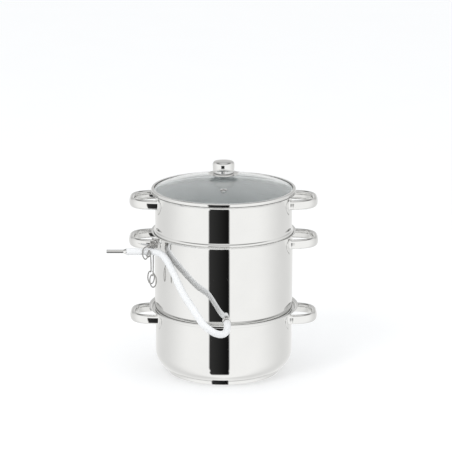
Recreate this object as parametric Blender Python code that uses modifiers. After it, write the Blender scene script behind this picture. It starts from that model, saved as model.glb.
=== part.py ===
"""A steam juicer: water pan, juice pot with steam cone and drain hose, fruit basket and glass lid.

The pieces stand stacked for use. Metres, +Z up, the origin at the centre of the face that it rests on.
The spout faces -Y, and the handles lie along X.
"""

import math

import bmesh
import bpy
from mathutils import Matrix, Vector

# Values shared by every piece
CLEARANCE = 0.0003  # between pieces that seat on each other
OVERRUN = 0.002  # how far a cutter passes the wall that it cuts
MERGE = 0.00001
FACETS = 40  # round a vessel
MIDDLE_FACETS = 24  # round the steam cone and the knob
SMALL_FACETS = 16  # round a spout, washer or eyelet
SHARP_ANGLE = 35.0

# Water pan
PAN_RADIUS = 0.128
PAN_HEIGHT = 0.125  # from the floor to the rim
PAN_WALL = 0.0007
PAN_CORNER_RADIUS = 0.035
PAN_LEDGE_DROP = 0.007  # from the rim down to the ledge that carries the juice pot
PAN_LEDGE_BEND = 0.0025
PAN_COLLAR_REACH = 0.0055  # past the pan's wall
PAN_COLLAR_BEND = 0.0015
PAN_LIP_BEND = 0.0055
PAN_LIP_FLAT = 0.001
PAN_HANDLE_DROP = 0.0178  # from the rim down to the middle of a handle
BASE_INSET = 0.022  # inside the pan's wall
BASE_CAP_WALL = 0.0006
BASE_CORE_THICKNESS = 0.0035

# Juice pot
POT_OVERHANG = 0.001  # past the pan's wall
POT_HEIGHT = 0.160
POT_WALL = 0.0007
POT_CORNER_RADIUS = 0.014
POT_LIP_BEND = 0.0062
POT_LIP_FLAT = 0.0005
POT_HANDLE_DROP = 0.017
STEAM_OPENING_RADIUS = 0.046

# Steam cone, welded over the pot's opening
CONE_FOOT_WIDTH = 0.007
CONE_FOOT_BEND = 0.003
CONE_TAPER = 0.020  # how much narrower its top is than the opening
CONE_CROWN_BEND = 0.009
CONE_GAP = 0.0077  # from the crown up to the basket
CONE_WALL = 0.0007
CONE_HOLES = 10
CONE_HOLE_RADIUS = 0.0032
CONE_HOLE_DROP = 0.017  # from the crown down to the ring of steam holes

# Spout, hose and nozzle
SPOUT_RADIUS = 0.0047
SPOUT_WALL = 0.0008
SPOUT_HEIGHT = 0.021  # of its axis over the pot's bottom
SPOUT_TURN = 2.5  # degrees round the pot, off the middle between the handles
SPOUT_INSET = 0.003  # how far it stands into the pot
SPOUT_REACH = 0.031  # how far it stands out of the pot's wall
SPOUT_COLLAR_RADIUS = 0.0078
SPOUT_COLLAR_LENGTH = 0.003
HOSE_RADIUS = 0.0065
HOSE_PAST_POT = 0.049  # from the pot's wall to the end of the hose, along X
HOSE_SLEEVE = 0.0185  # length of hose pushed over a spout or nozzle
HOSE_STEP = 0.013  # between the tube's rings
NOZZLE_RADIUS = 0.0035
NOZZLE_FLARE_RADIUS = 0.0054
NOZZLE_FLARE_LENGTH = 0.0055
NOZZLE_LIP = 0.0008
NOZZLE_LENGTH = 0.037  # past the end of the hose
NOZZLE_WALL = 0.0008

# Fruit basket
BASKET_INSET = 0.0015  # inside the pot's outer face
BASKET_HEIGHT = 0.155
BASKET_WALL = 0.0007
BASKET_LIP_BEND = 0.0074
BASKET_LIP_FLAT = 0.0008
BASKET_HANDLE_DROP = 0.0172
BEAD_HEIGHT = 0.081  # of the bead's middle over the basket's bottom
BEAD_RADIUS = 0.0055
BEAD_OVERHANG = 0.0012  # past the pot's wall
TUCK_INSET = 0.001  # of the wall just below the bead
TAPER_INSET = 0.0047  # of the wall where the bottom corner starts
BASKET_CORNER_RADIUS = 0.037
HOLE_RADIUS = 0.0021
HOLE_SIDES = 6
HOLE_COLUMNS = 40
HOLE_ROWS = 4
FIRST_ROW_DROP = 0.0215  # from the bead's middle down to the first row
HOLE_ROW_PITCH = 0.0145
FLOOR_RING_PITCH = 0.026
FLOOR_RING_HOLES = 6  # in the first ring, and as many more in each ring outside it
FLOOR_RINGS = 2

# Loop handles and the plates that hold them
HANDLE_REACH = 0.0475  # past the vessel's wall
HANDLE_HALF_SPAN = 0.042  # from the middle of the handle to the axis of a leg
HANDLE_THICKNESS = 0.011
HANDLE_DEPTH = 0.018
HANDLE_SQUARENESS = 3.0  # power of the curve that the bow follows in plan
HANDLE_ROOT_SHARE = 0.86  # where the bow's curve starts, as a share of the wall's radius
HANDLE_POINTS = 11
PLATE_THICKNESS = 0.0012
PLATE_HALF_WIDTH = 0.015
PLATE_RISE = 0.0075  # over the handle's middle
PLATE_FALL = 0.019
PLATE_COLUMNS = 3
PLATE_DOWN_SHARES = (0.0, 0.12, 0.36, 0.72, 1.0)
PLATE_WIDTH_SHARES = (0.55, 0.88, 1.0, 0.62, 0.08)

# Wire clamp that pinches the hose and hangs on the pot's left handle
CLAMP_INSET = 0.003  # of the middle of the coil, from the pot's wall, along X
CLAMP_AHEAD = 0.028  # from the handle's front leg forwards to the coil's axis
CLAMP_DROP = 0.010  # from the pot's rim down to the coil's axis
WIRE_RADIUS = 0.0012
WIRE_STEP = 0.0070  # between the wire's rings
COIL_RADIUS = 0.0054
COIL_PITCH = 0.0029
COIL_POINTS = 8  # to a turn
FRONT_TURNS = 2.25
REAR_TURNS = 1.5
STEM_SHIFT = 0.0045  # between the two stems, so that they pass each other
STEM_FALL = 0.053  # from the coil's axis to the top of a finger pad
PAD_HALF_WIDTH = 0.006
PAD_HALF_HEIGHT = 0.0125
PAD_SWEEP = 330.0  # degrees of the pad's oval
PAD_POINTS = 12
PAD_SPREAD = 0.012  # from the hose's axis to a pad
HOOK_PLACE = -0.005  # from the middle of the coil, towards the pot

JAW_WIDTH = 0.0142
JAW_FALL = 0.026  # from the coil's axis to the foot of the jaw

# How each wire bends from the coil to the top of its stem: shares of the jaw's width and fall
FRONT_LEAD_SHARES = ((0.211, 0.085), (0.662, 0.115))
REAR_LEAD_SHARES = ((-0.246, 0.2), (0.106, 0.173), (0.563, 0.162))
JAW_SHARES = (
    (0.944, 0.292),
    (1.0, 0.538),
    (0.972, 0.788),
    (0.669, 1.0),
    (0.366, 0.815),
    (0.317, 0.527),
    (0.162, 0.369),
    (-0.0, 0.638),
)
LEAD_SPREAD_SHARES = (0.56, 0.94, 1.0)  # of the jaw's offset, along the rear wire's lead

# Lid
LID_INSET = 0.0005  # inside the basket's lip
LID_SHEET = 0.0007
LID_BAND_HEIGHT = 0.0066
LID_LIP_WIDTH = 0.0053
LID_EDGE_BEND = 0.0012
LID_SKIRT_GAP = 0.0022  # from the basket's inner face
LID_SKIRT_DROP = 0.0065
GLASS_THICKNESS = 0.004
GLASS_BORDER = 0.004  # flat edge held in the band
DOME_RISE = 0.023
DOME_RINGS = 3
GLASS_SEAT_RADIUS = 0.017  # flat middle under the knob
VENT_PLACE = 0.079  # from the lid's axis, towards the spout
VENT_HOLE_RADIUS = 0.004
VENT_BORE_RADIUS = 0.0018
VENT_FLANGE_RADIUS = 0.0068
VENT_FLANGE_THICKNESS = 0.0013

# Knob
KNOB_RADIUS = 0.0205
KNOB_NECK_INSET = 0.0008
KNOB_HEIGHT = 0.027
KNOB_CROWN_BEND = 0.006
KNOB_CROWN_RISE = 0.0015
FLANGE_RADIUS = 0.0285
FLANGE_THICKNESS = 0.0012
FLANGE_DISH = 0.0026
FLANGE_SEAT_RADIUS = 0.0202
GASKET_RADIUS = 0.0150
GASKET_THICKNESS = 0.0012
WASHER_RADIUS = 0.0100
WASHER_THICKNESS = 0.0010
SCREW_RADIUS = 0.0025
SCREW_HEAD_RADIUS = 0.0048
SCREW_HEAD_HEIGHT = 0.0028
SCREW_GRIP = 0.012  # how far it goes into the knob

# Places worked out from the sizes above
PAN_FLOOR = BASE_CAP_WALL + BASE_CORE_THICKNESS + 2 * CLEARANCE
PAN_INSIDE = PAN_RADIUS - PAN_WALL
PAN_COLLAR_RADIUS = PAN_RADIUS + PAN_COLLAR_REACH
PAN_LIP_RADIUS = PAN_COLLAR_RADIUS + PAN_LIP_BEND + PAN_LIP_FLAT
BASE_RADIUS = PAN_RADIUS - BASE_INSET
PAN_LEDGE = PAN_HEIGHT - PAN_LEDGE_DROP
POT_RADIUS = PAN_RADIUS + POT_OVERHANG
POT_INSIDE = POT_RADIUS - POT_WALL
POT_LIP_RADIUS = POT_INSIDE + POT_LIP_BEND + POT_LIP_FLAT
POT_NEST = math.sqrt(
    (POT_CORNER_RADIUS + PAN_LEDGE_BEND + CLEARANCE) ** 2
    - (POT_CORNER_RADIUS + PAN_LEDGE_BEND - POT_RADIUS + PAN_INSIDE) ** 2
)
POT_BASE = PAN_LEDGE - PAN_LEDGE_BEND + POT_NEST - POT_CORNER_RADIUS
POT_RIM = POT_BASE + POT_HEIGHT
BASKET_RADIUS = POT_RADIUS - BASKET_INSET
BASKET_INSIDE = BASKET_RADIUS - BASKET_WALL
BASKET_LIP_RADIUS = BASKET_INSIDE + BASKET_LIP_BEND + BASKET_LIP_FLAT
TUCK_RADIUS = BASKET_RADIUS - TUCK_INSET
TAPER_RADIUS = BASKET_RADIUS - TAPER_INSET
BEAD_CENTRE = POT_RADIUS + BEAD_OVERHANG - BEAD_RADIUS
BEAD_SEAT = math.sqrt(
    (BEAD_RADIUS + POT_LIP_BEND + CLEARANCE) ** 2
    - (POT_INSIDE + POT_LIP_BEND - BEAD_CENTRE) ** 2
)
BASKET_BASE = POT_RIM - POT_LIP_BEND + BEAD_SEAT - BEAD_HEIGHT
BASKET_RIM = BASKET_BASE + BASKET_HEIGHT
CONE_TOP_RADIUS = STEAM_OPENING_RADIUS - CONE_TAPER
CONE_HEIGHT = BASKET_BASE - POT_BASE - POT_WALL - CLEARANCE - CONE_GAP
LID_RADIUS = BASKET_LIP_RADIUS - LID_INSET
LID_LIP_RADIUS = LID_RADIUS - LID_LIP_WIDTH
LID_SKIRT_RADIUS = BASKET_INSIDE - LID_SKIRT_GAP
KNOB_NECK_RADIUS = KNOB_RADIUS - KNOB_NECK_INSET
LID_SEAT = BASKET_RIM + CLEARANCE
GLASS_LOW = LID_SHEET + CLEARANCE  # over the lid's seat, as the next ones are
GLASS_TOP = GLASS_LOW + GLASS_THICKNESS
DOME_RADIUS = LID_RADIUS - LID_SHEET - CLEARANCE - GLASS_BORDER
SPHERE_RADIUS = (DOME_RADIUS**2 + DOME_RISE**2) / (2 * DOME_RISE)
SCREW_HOLE_RADIUS = SCREW_RADIUS + CLEARANCE
HOSE_BORE = SPOUT_RADIUS + CLEARANCE
HOSE_DROP = COIL_RADIUS + WIRE_RADIUS + CLEARANCE + HOSE_RADIUS  # below the coil's axis
JAW_OFFSET = HOSE_RADIUS + CLEARANCE + WIRE_RADIUS  # from the hose's axis
CLAMP_HEIGHT = POT_HEIGHT - CLAMP_DROP  # over the pot's bottom
CLAMP_PLACE = POT_RADIUS - CLAMP_INSET
CLAMP_FRONT = HANDLE_HALF_SPAN + CLAMP_AHEAD
HOSE_END = POT_RADIUS + HOSE_PAST_POT

# The hose's free run between the spout and the clamp: points chosen by eye, as shares of the pot's
# radius along X and Y and of its height along Z
HOSE_ROUTE_SHARES = (
    (0.0388, -1.3589, 0.0981),
    (-0.0078, -1.4465, 0.0875),
    (-0.0814, -1.5116, 0.1050),
    (-0.1744, -1.5403, 0.1488),
    (-0.2907, -1.5116, 0.2281),
    (-0.4186, -1.3566, 0.3531),
    (-0.5736, -1.0891, 0.4875),
    (-0.7132, -0.8372, 0.6750),
    (-0.8256, -0.6628, 0.8000),
    (-0.9225, -0.5775, 0.8438),
)


def start_scene():
    """Empties the scene and makes the collections for the pieces and for the cutters."""
    for obj in list(bpy.data.objects):
        bpy.data.objects.remove(obj)
    made = []
    for name in ("steam_juicer", "cutters"):
        collection = bpy.data.collections.new(name)
        bpy.context.scene.collection.children.link(collection)
        made.append(collection)
    made[1].hide_render = True
    return made


PIECES, CUTTERS = start_scene()


def material(name, colour, metallic, roughness, transmission=0.0):
    made = bpy.data.materials.new(name)
    made.use_nodes = True
    shader = made.node_tree.nodes["Principled BSDF"]
    shader.inputs["Base Color"].default_value = (*colour, 1.0)
    shader.inputs["Metallic"].default_value = metallic
    shader.inputs["Roughness"].default_value = roughness
    shader.inputs["Transmission Weight"].default_value = transmission
    return made


POLISHED = material("polished_steel", (0.80, 0.80, 0.79), 1.0, 0.06)
SATIN = material("satin_steel", (0.72, 0.72, 0.71), 1.0, 0.28)
ALUMINIUM = material("aluminium", (0.78, 0.79, 0.80), 1.0, 0.40)
SPRING = material("spring_steel", (0.62, 0.61, 0.59), 1.0, 0.22)
GLASS = material("clear_glass", (0.93, 0.98, 0.98), 0.0, 0.02, 1.0)
SILICONE = material("silicone", (0.90, 0.92, 0.93), 0.0, 0.35, 0.4)


def arc(centre, radius, start, end, steps):
    """Points of an outline along an arc, in degrees up from the outward direction."""
    angles = [math.radians(start + (end - start) * i / steps) for i in range(steps + 1)]
    return [(centre[0] + radius * math.cos(a), centre[1] + radius * math.sin(a)) for a in angles]


def pushed_out(path, distance):
    """The same path a wall's thickness further out, on the right of its direction."""
    normals = []
    for (r0, z0), (r1, z1) in zip(path, path[1:]):
        length = math.hypot(r1 - r0, z1 - z0)
        normals.append(((z1 - z0) / length, (r0 - r1) / length))
    moved = []
    for i, (r, z) in enumerate(path):
        before = normals[max(i - 1, 0)]
        after = normals[min(i, len(normals) - 1)]
        scale = distance / (1 + before[0] * after[0] + before[1] * after[1])
        moved.append((r + (before[0] + after[0]) * scale, z + (before[1] + after[1]) * scale))
    return moved


def walled(path, wall):
    """The outline of a sheet wall: up its inner side, then down its outer side."""
    return path + pushed_out(path, wall)[::-1]


def link(obj, collection, parent=None):
    collection.objects.link(obj)
    obj.parent = parent
    return obj


def frame(name, place):
    """An empty that carries the pieces of one body."""
    empty = bpy.data.objects.new(name, None)
    empty.location = place
    return link(empty, PIECES)


def turned(name, outline, parent, look, facets=FACETS):
    """A turned piece. An outline that starts and ends on the axis is open, any other is a ring."""
    ring = outline[0][0] > 0 or outline[-1][0] > 0
    edges = [(i, i + 1) for i in range(len(outline) - 1)]
    if ring:
        edges.append((len(outline) - 1, 0))
    mesh = bpy.data.meshes.new(name)
    mesh.from_pydata([(r, 0.0, z) for r, z in outline], edges, [])
    mesh.materials.append(look)
    obj = link(bpy.data.objects.new(name, mesh), PIECES, parent)
    screw = obj.modifiers.new("turn", "SCREW")
    screw.steps = screw.render_steps = facets
    screw.use_merge_vertices = True
    screw.merge_threshold = MERGE
    return obj


def frozen(obj):
    """Turns a curve, or a mesh with modifiers, into a plain mesh with welded points and soft shading."""
    bpy.context.view_layer.update()
    graph = bpy.context.evaluated_depsgraph_get()
    mesh = bpy.data.meshes.new_from_object(obj.evaluated_get(graph))
    shape = bmesh.new()
    shape.from_mesh(mesh)
    bmesh.ops.remove_doubles(shape, verts=shape.verts, dist=MERGE)
    shape.to_mesh(mesh)
    shape.free()
    mesh.shade_smooth()
    mesh.set_sharp_from_angle(angle=math.radians(SHARP_ANGLE))
    mesh.materials.clear()
    for look in obj.data.materials:
        mesh.materials.append(look)
    name, parent, local = obj.name, obj.parent, obj.matrix_local.copy()
    homes = list(obj.users_collection)
    bpy.data.objects.remove(obj)
    made = bpy.data.objects.new(name, mesh)
    for home in homes:
        home.objects.link(made)
    made.parent = parent
    made.matrix_local = local
    return made


def prisms(name, matrices, radius, depth, sides, parent=None):
    """One cutter made of a prism at each matrix, with its length along the matrix's Z."""
    shape = bmesh.new()
    for matrix in matrices:
        bmesh.ops.create_cone(
            shape,
            cap_ends=True,
            segments=sides,
            radius1=radius,
            radius2=radius,
            depth=depth,
            matrix=matrix,
        )
    mesh = bpy.data.meshes.new(name)
    shape.to_mesh(mesh)
    shape.free()
    cutter = link(bpy.data.objects.new(name, mesh), CUTTERS, parent)
    cutter.display_type = "WIRE"
    cutter.hide_render = True
    return cutter


def cut(obj, cutter):
    boolean = obj.modifiers.new("cut", "BOOLEAN")
    boolean.operation = "DIFFERENCE"
    boolean.solver = "EXACT"
    boolean.object = cutter


def tube(name, points, radius, resolution, parent, look):
    """A round wire, rod or hose along the points, with closed ends."""
    curve = bpy.data.curves.new(name, "CURVE")
    curve.dimensions = "3D"
    curve.bevel_depth = radius
    curve.bevel_resolution = resolution
    curve.use_fill_caps = True
    spline = curve.splines.new("POLY")
    spline.points.add(len(points) - 1)
    for point, place in zip(spline.points, points):
        point.co = (*place, 1.0)
    curve.materials.append(look)
    return frozen(link(bpy.data.objects.new(name, curve), PIECES, parent))


def smooth(route, step):
    """Points about a step apart on a smooth curve through a route, with the route's own ends."""
    stops = [Vector(p) for p in route]
    stops = [2 * stops[0] - stops[1], *stops, 2 * stops[-1] - stops[-2]]
    points = []
    for a, b, c, d in zip(stops, stops[1:], stops[2:], stops[3:]):
        count = max(1, round((c - b).length / step))
        for i in range(count):
            t = i / count
            points.append(
                0.5
                * (2 * b + (c - a) * t + (2 * a - 5 * b + 4 * c - d) * t**2 + (3 * b - a - 3 * c + d) * t**3)
            )
    return [*points, stops[-2]]


def on_path(path, height):
    """The radius of a rising outline at a height, and how far its outward side leans from straight up."""
    for (r0, z0), (r1, z1) in zip(path, path[1:]):
        if z0 <= height <= z1:
            share = (height - z0) / (z1 - z0)
            return r0 + (r1 - r0) * share, math.atan2(z1 - z0, r0 - r1)
    raise ValueError("no such height on this outline")


def handle(name, radius, height, side, parent):
    """A loop handle: a flattened tube bowed out from the wall, its ends fitted to the plates."""
    start = radius * HANDLE_ROOT_SHARE
    reach = radius + HANDLE_REACH - HANDLE_THICKNESS / 2 - start
    power = 2 / HANDLE_SQUARENESS
    points = []
    for i in range(HANDLE_POINTS):
        turn = math.pi * (i / (HANDLE_POINTS - 1) - 0.5)
        out = reach * math.cos(turn) ** power if abs(turn) < math.pi / 2 else 0.0
        across = math.copysign(HANDLE_HALF_SPAN * abs(math.sin(turn)) ** power, turn)
        points.append((side * (start + out), side * across, 0.0))
    loop = tube(name, points, HANDLE_THICKNESS / 2, 2, parent, POLISHED)
    loop.data.transform(Matrix.Diagonal((1.0, 1.0, HANDLE_DEPTH / HANDLE_THICKNESS, 1.0)))
    loop.location.z = height
    seat = radius + PLATE_THICKNESS + 2 * CLEARANCE
    cutter = prisms(name + "_seat", [Matrix()], seat, HANDLE_DEPTH * 2, 2 * FACETS, loop)
    cut(loop, cutter)
    return frozen(loop)


def handle_plate(name, radius, height, side, front, parent):
    """The leaf-shaped plate between one leg of a handle and the wall, bent to the wall."""
    inner = radius + CLEARANCE
    middle = math.asin(HANDLE_HALF_SPAN / inner)
    shape = bmesh.new()
    grids = []
    for surface in (inner, inner + PLATE_THICKNESS):
        rows = []
        for down, width in zip(PLATE_DOWN_SHARES, PLATE_WIDTH_SHARES):
            z = PLATE_RISE - (PLATE_RISE + PLATE_FALL) * down
            row = []
            for i in range(PLATE_COLUMNS + 1):
                across = PLATE_HALF_WIDTH * width * (2 * i / PLATE_COLUMNS - 1)
                angle = middle + across / inner
                row.append(shape.verts.new((surface * math.cos(angle), surface * math.sin(angle), z)))
            rows.append(row)
        grids.append(rows)
    for surface, rows in enumerate(grids):
        for upper, lower in zip(rows, rows[1:]):
            for i in range(PLATE_COLUMNS):
                corners = (upper[i], lower[i], lower[i + 1], upper[i + 1])
                shape.faces.new(corners if surface else corners[::-1])
    last = len(PLATE_DOWN_SHARES) - 1
    border = [(0, i) for i in range(PLATE_COLUMNS)] + [(j, PLATE_COLUMNS) for j in range(last)]
    border += [(last, i) for i in range(PLATE_COLUMNS, 0, -1)] + [(j, 0) for j in range(last, 0, -1)]
    for (j0, i0), (j1, i1) in zip(border, border[1:] + border[:1]):
        shape.faces.new((grids[0][j0][i0], grids[0][j1][i1], grids[1][j1][i1], grids[1][j0][i0]))
    if side * front > 0:
        bmesh.ops.transform(shape, matrix=Matrix.Diagonal((1.0, -1.0, 1.0, 1.0)), verts=shape.verts)
    if side < 0:
        bmesh.ops.transform(shape, matrix=Matrix.Rotation(math.pi, 4, "Z"), verts=shape.verts)
    bmesh.ops.recalc_face_normals(shape, faces=shape.faces)
    mesh = bpy.data.meshes.new(name)
    shape.to_mesh(mesh)
    shape.free()
    mesh.materials.append(POLISHED)
    plate = link(bpy.data.objects.new(name, mesh), PIECES, parent)
    plate.location.z = height
    return frozen(plate)


def handles(vessel, radius, height, parent):
    for side, word in ((-1, "left"), (1, "right")):
        handle(f"{vessel}_handle_{word}", radius, height, side, parent)
        for front, place in ((1, "front"), (-1, "rear")):
            name = f"{vessel}_handle_plate_{word}_{place}"
            handle_plate(name, radius, height, side, front, parent)


def water_pan():
    """The bottom pan, with the ledge that the juice pot sinks onto, over its heat-spreading base."""
    body = frame("water_pan_frame", (0.0, 0.0, 0.0))
    corner = PAN_CORNER_RADIUS - PAN_WALL
    inside = PAN_INSIDE - corner
    path = [(0.0, PAN_FLOOR + PAN_WALL)]
    path += arc((inside, PAN_FLOOR + PAN_CORNER_RADIUS), corner, -90, 0, 3)
    path += arc((PAN_INSIDE + PAN_LEDGE_BEND, PAN_LEDGE - PAN_LEDGE_BEND), PAN_LEDGE_BEND, 180, 90, 2)
    path += arc(
        (PAN_COLLAR_RADIUS - PAN_COLLAR_BEND, PAN_LEDGE + PAN_COLLAR_BEND), PAN_COLLAR_BEND, -90, 0, 1
    )
    path += arc((PAN_COLLAR_RADIUS + PAN_LIP_BEND, PAN_HEIGHT - PAN_LIP_BEND), PAN_LIP_BEND, 180, 90, 2)[1:]
    path.append((PAN_LIP_RADIUS, PAN_HEIGHT))
    frozen(turned("water_pan_body", walled(path, PAN_WALL), body, SATIN))

    core_low = BASE_CAP_WALL + CLEARANCE
    core_radius = PAN_RADIUS - PAN_CORNER_RADIUS
    core = [
        (0.0, core_low + BASE_CORE_THICKNESS),
        (core_radius, core_low + BASE_CORE_THICKNESS),
        (core_radius, core_low),
        (0.0, core_low),
    ]
    frozen(turned("water_pan_base_core", core, body, ALUMINIUM))

    fit = PAN_CORNER_RADIUS + CLEARANCE
    cap_inside = BASE_RADIUS - BASE_CAP_WALL
    rise = math.sqrt(fit**2 - (cap_inside - core_radius) ** 2)
    outer_rise = math.sqrt(fit**2 - (BASE_RADIUS - core_radius) ** 2)
    centre = PAN_FLOOR + PAN_CORNER_RADIUS
    cap = [
        (0.0, BASE_CAP_WALL),
        (cap_inside, BASE_CAP_WALL),
        (cap_inside, centre - rise),
        (BASE_RADIUS, centre - outer_rise),
        (BASE_RADIUS, BASE_CAP_WALL),
        (BASE_RADIUS - BASE_CAP_WALL, 0.0),
        (0.0, 0.0),
    ]
    frozen(turned("water_pan_base_cap", cap, body, SATIN))
    handles("water_pan", PAN_RADIUS, PAN_HEIGHT - PAN_HANDLE_DROP, body)


def juice_pot(body):
    """The pot that collects the juice round its steam opening."""
    corner = POT_CORNER_RADIUS - POT_WALL
    path = [(STEAM_OPENING_RADIUS, POT_WALL)]
    path += arc((POT_INSIDE - corner, POT_CORNER_RADIUS), corner, -90, 0, 3)
    path += arc((POT_INSIDE + POT_LIP_BEND, POT_HEIGHT - POT_LIP_BEND), POT_LIP_BEND, 180, 90, 3)
    path.append((POT_LIP_RADIUS, POT_HEIGHT))
    pot = turned("juice_pot_body", walled(path, POT_WALL), body, POLISHED)
    around = Matrix.Rotation(math.radians(SPOUT_TURN), 4, "Z")
    lying = Matrix.Rotation(math.pi / 2, 4, "X")
    middle = around @ Matrix.Translation((0.0, -POT_RADIUS, SPOUT_HEIGHT)) @ lying
    cut(pot, prisms("spout_hole", [middle], SPOUT_RADIUS + CLEARANCE, POT_CORNER_RADIUS, SMALL_FACETS, body))
    frozen(pot)
    handles("juice_pot", POT_RADIUS, POT_HEIGHT - POT_HANDLE_DROP, body)


def steam_cone(body):
    """The cone that leads the steam up through the juice, open below, with a ring of holes near its crown."""
    foot = STEAM_OPENING_RADIUS + CONE_FOOT_WIDTH
    low = POT_WALL + CLEARANCE
    slope_foot = (STEAM_OPENING_RADIUS - CONE_FOOT_BEND, low + CONE_FOOT_BEND)
    path = [(foot, low), (STEAM_OPENING_RADIUS, low), slope_foot]
    crown = low + CONE_HEIGHT
    path.append((CONE_TOP_RADIUS, crown - CONE_CROWN_BEND))
    path += arc(
        (CONE_TOP_RADIUS - CONE_CROWN_BEND, crown - CONE_CROWN_BEND), CONE_CROWN_BEND, 30, 90, 2
    )
    path.append((0.0, crown))
    outline = pushed_out(path, CONE_WALL)[::-1] + path
    cone = turned("steam_cone", outline, body, SATIN, MIDDLE_FACETS)
    flank = (path[2], path[3])
    radius, lean = on_path(flank, crown - CONE_HOLE_DROP)
    spots = []
    for i in range(CONE_HOLES):
        turn = Matrix.Rotation(math.tau * (i + 0.5) / CONE_HOLES, 4, "Z")
        tilt = Matrix.Rotation(lean, 4, "Y")
        spots.append(turn @ Matrix.Translation((radius, 0.0, crown - CONE_HOLE_DROP)) @ tilt)
    cut(cone, prisms("steam_holes", spots, CONE_HOLE_RADIUS, OVERRUN * 2, HOLE_SIDES, body))
    frozen(cone)


def spout(body):
    """The drain spout through the pot's wall, and the collar that it is welded with."""
    low = -POT_INSIDE + SPOUT_INSET
    far = -POT_RADIUS - SPOUT_REACH
    around = Matrix.Rotation(math.radians(SPOUT_TURN), 4, "Z")
    lying = around @ Matrix.Translation((0.0, 0.0, SPOUT_HEIGHT)) @ Matrix.Rotation(math.pi / 2, 4, "X")
    bore = SPOUT_RADIUS - SPOUT_WALL
    outline = [(bore, -low), (bore, -far), (SPOUT_RADIUS, -far), (SPOUT_RADIUS, -low)]
    pipe = turned("juice_spout", outline, body, POLISHED, SMALL_FACETS)
    pipe.matrix_local = lying
    frozen(pipe)

    near = POT_RADIUS + CLEARANCE
    hole = SPOUT_RADIUS + CLEARANCE
    end = near + SPOUT_COLLAR_LENGTH
    slant = SPOUT_COLLAR_RADIUS - SPOUT_COLLAR_LENGTH / 2
    ring = [(hole, near), (hole, end), (slant, end), (SPOUT_COLLAR_RADIUS, near + SPOUT_COLLAR_LENGTH / 2)]
    ring.append((SPOUT_COLLAR_RADIUS, near))
    collar = turned("spout_collar", ring, body, POLISHED, SMALL_FACETS)
    collar.matrix_local = lying
    frozen(collar)


def hose_route():
    """Stops along the hose's middle, over the pot's bottom: straight on the spout and on the nozzle."""
    around = Matrix.Rotation(math.radians(SPOUT_TURN), 4, "Z")
    tip = POT_RADIUS + SPOUT_REACH
    route = [around @ Vector((0.0, -reach, SPOUT_HEIGHT)) for reach in (tip - HOSE_SLEEVE, tip)]
    route += [(x * POT_RADIUS, y * POT_RADIUS, z * POT_HEIGHT) for x, y, z in HOSE_ROUTE_SHARES]
    level = CLAMP_HEIGHT - HOSE_DROP
    straight = HOSE_END - HOSE_SLEEVE
    near_clamp = CLAMP_PLACE + HOSE_RADIUS
    for place in (near_clamp, (near_clamp + straight) / 2, straight, HOSE_END):
        route.append((-place, -CLAMP_FRONT, level))
    return route


def hose(body):
    """The silicone drain hose, pushed over the spout and led up to the clamp, and its steel nozzle."""
    level = CLAMP_HEIGHT - HOSE_DROP
    pipe = tube("juice_hose", smooth(hose_route(), HOSE_STEP), HOSE_RADIUS, 3, body, SILICONE)
    middle = Vector((0.0, HOSE_SLEEVE / 2 - POT_RADIUS - SPOUT_REACH, SPOUT_HEIGHT))
    around = Matrix.Rotation(math.radians(SPOUT_TURN), 4, "Z")
    over_spout = around @ Matrix.Translation(middle) @ Matrix.Rotation(math.pi / 2, 4, "X")
    over_nozzle = Matrix.Translation((-HOSE_END + HOSE_SLEEVE / 2, -CLAMP_FRONT, level))
    over_nozzle = over_nozzle @ Matrix.Rotation(math.pi / 2, 4, "Y")
    bores = prisms("hose_bores", [over_spout, over_nozzle], HOSE_BORE, HOSE_SLEEVE + OVERRUN, 12, body)
    cut(pipe, bores)
    frozen(pipe)

    tip = HOSE_END + NOZZLE_LENGTH
    barb = SPOUT_RADIUS
    bore = NOZZLE_RADIUS - NOZZLE_WALL
    shoulder = HOSE_END + CLEARANCE
    outline = [
        (bore, HOSE_END - HOSE_SLEEVE + NOZZLE_WALL),
        (bore, tip),
        (NOZZLE_RADIUS, tip),
        (NOZZLE_RADIUS, shoulder + NOZZLE_FLARE_LENGTH),
        (NOZZLE_FLARE_RADIUS, shoulder + NOZZLE_LIP),
        (NOZZLE_FLARE_RADIUS, shoulder),
        (barb, shoulder),
        (barb, HOSE_END - HOSE_SLEEVE + NOZZLE_WALL),
    ]
    nozzle = turned("hose_nozzle", outline, body, POLISHED, SMALL_FACETS)
    nozzle.matrix_local = Matrix.Translation((0.0, -CLAMP_FRONT, level)) @ Matrix.Rotation(
        -math.pi / 2, 4, "Y"
    )
    frozen(nozzle)


def coil(first, turns):
    """Points of a coil about X: from its top at a first place along X, forwards, down and away from the pot."""
    points = []
    for i in range(round(turns * COIL_POINTS) + 1):
        share = i / COIL_POINTS
        angle = math.tau * (share + 0.25)
        y, z = COIL_RADIUS * math.cos(angle), COIL_RADIUS * math.sin(angle)
        points.append((first - COIL_PITCH * share, y, z))
    return points


def jaw_and_pad(stem, side):
    """The bent wire across the hose on one side of it, then down past it to a finger pad on the other."""
    points = [(stem - JAW_WIDTH * w, side * JAW_OFFSET, -JAW_FALL * f) for w, f in JAW_SHARES]
    for i in range(PAD_POINTS + 1):
        angle = math.pi / 2 + math.radians(PAD_SWEEP) * i / PAD_POINTS
        across = PAD_HALF_WIDTH * math.cos(angle)
        down = PAD_HALF_HEIGHT * (math.sin(angle) - 1)
        points.append((stem + across, -side * PAD_SPREAD, down - STEM_FALL))
    return points


def front_wire():
    turns = coil(-COIL_PITCH / 2, FRONT_TURNS)
    stem = turns[-1][0]
    offsets = (-(COIL_RADIUS + JAW_OFFSET) / 2, -JAW_OFFSET)
    lead = [
        (stem - JAW_WIDTH * w, y, -JAW_FALL * f) for (w, f), y in zip(FRONT_LEAD_SHARES, offsets)
    ]
    return turns + lead + jaw_and_pad(stem, -1)


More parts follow.
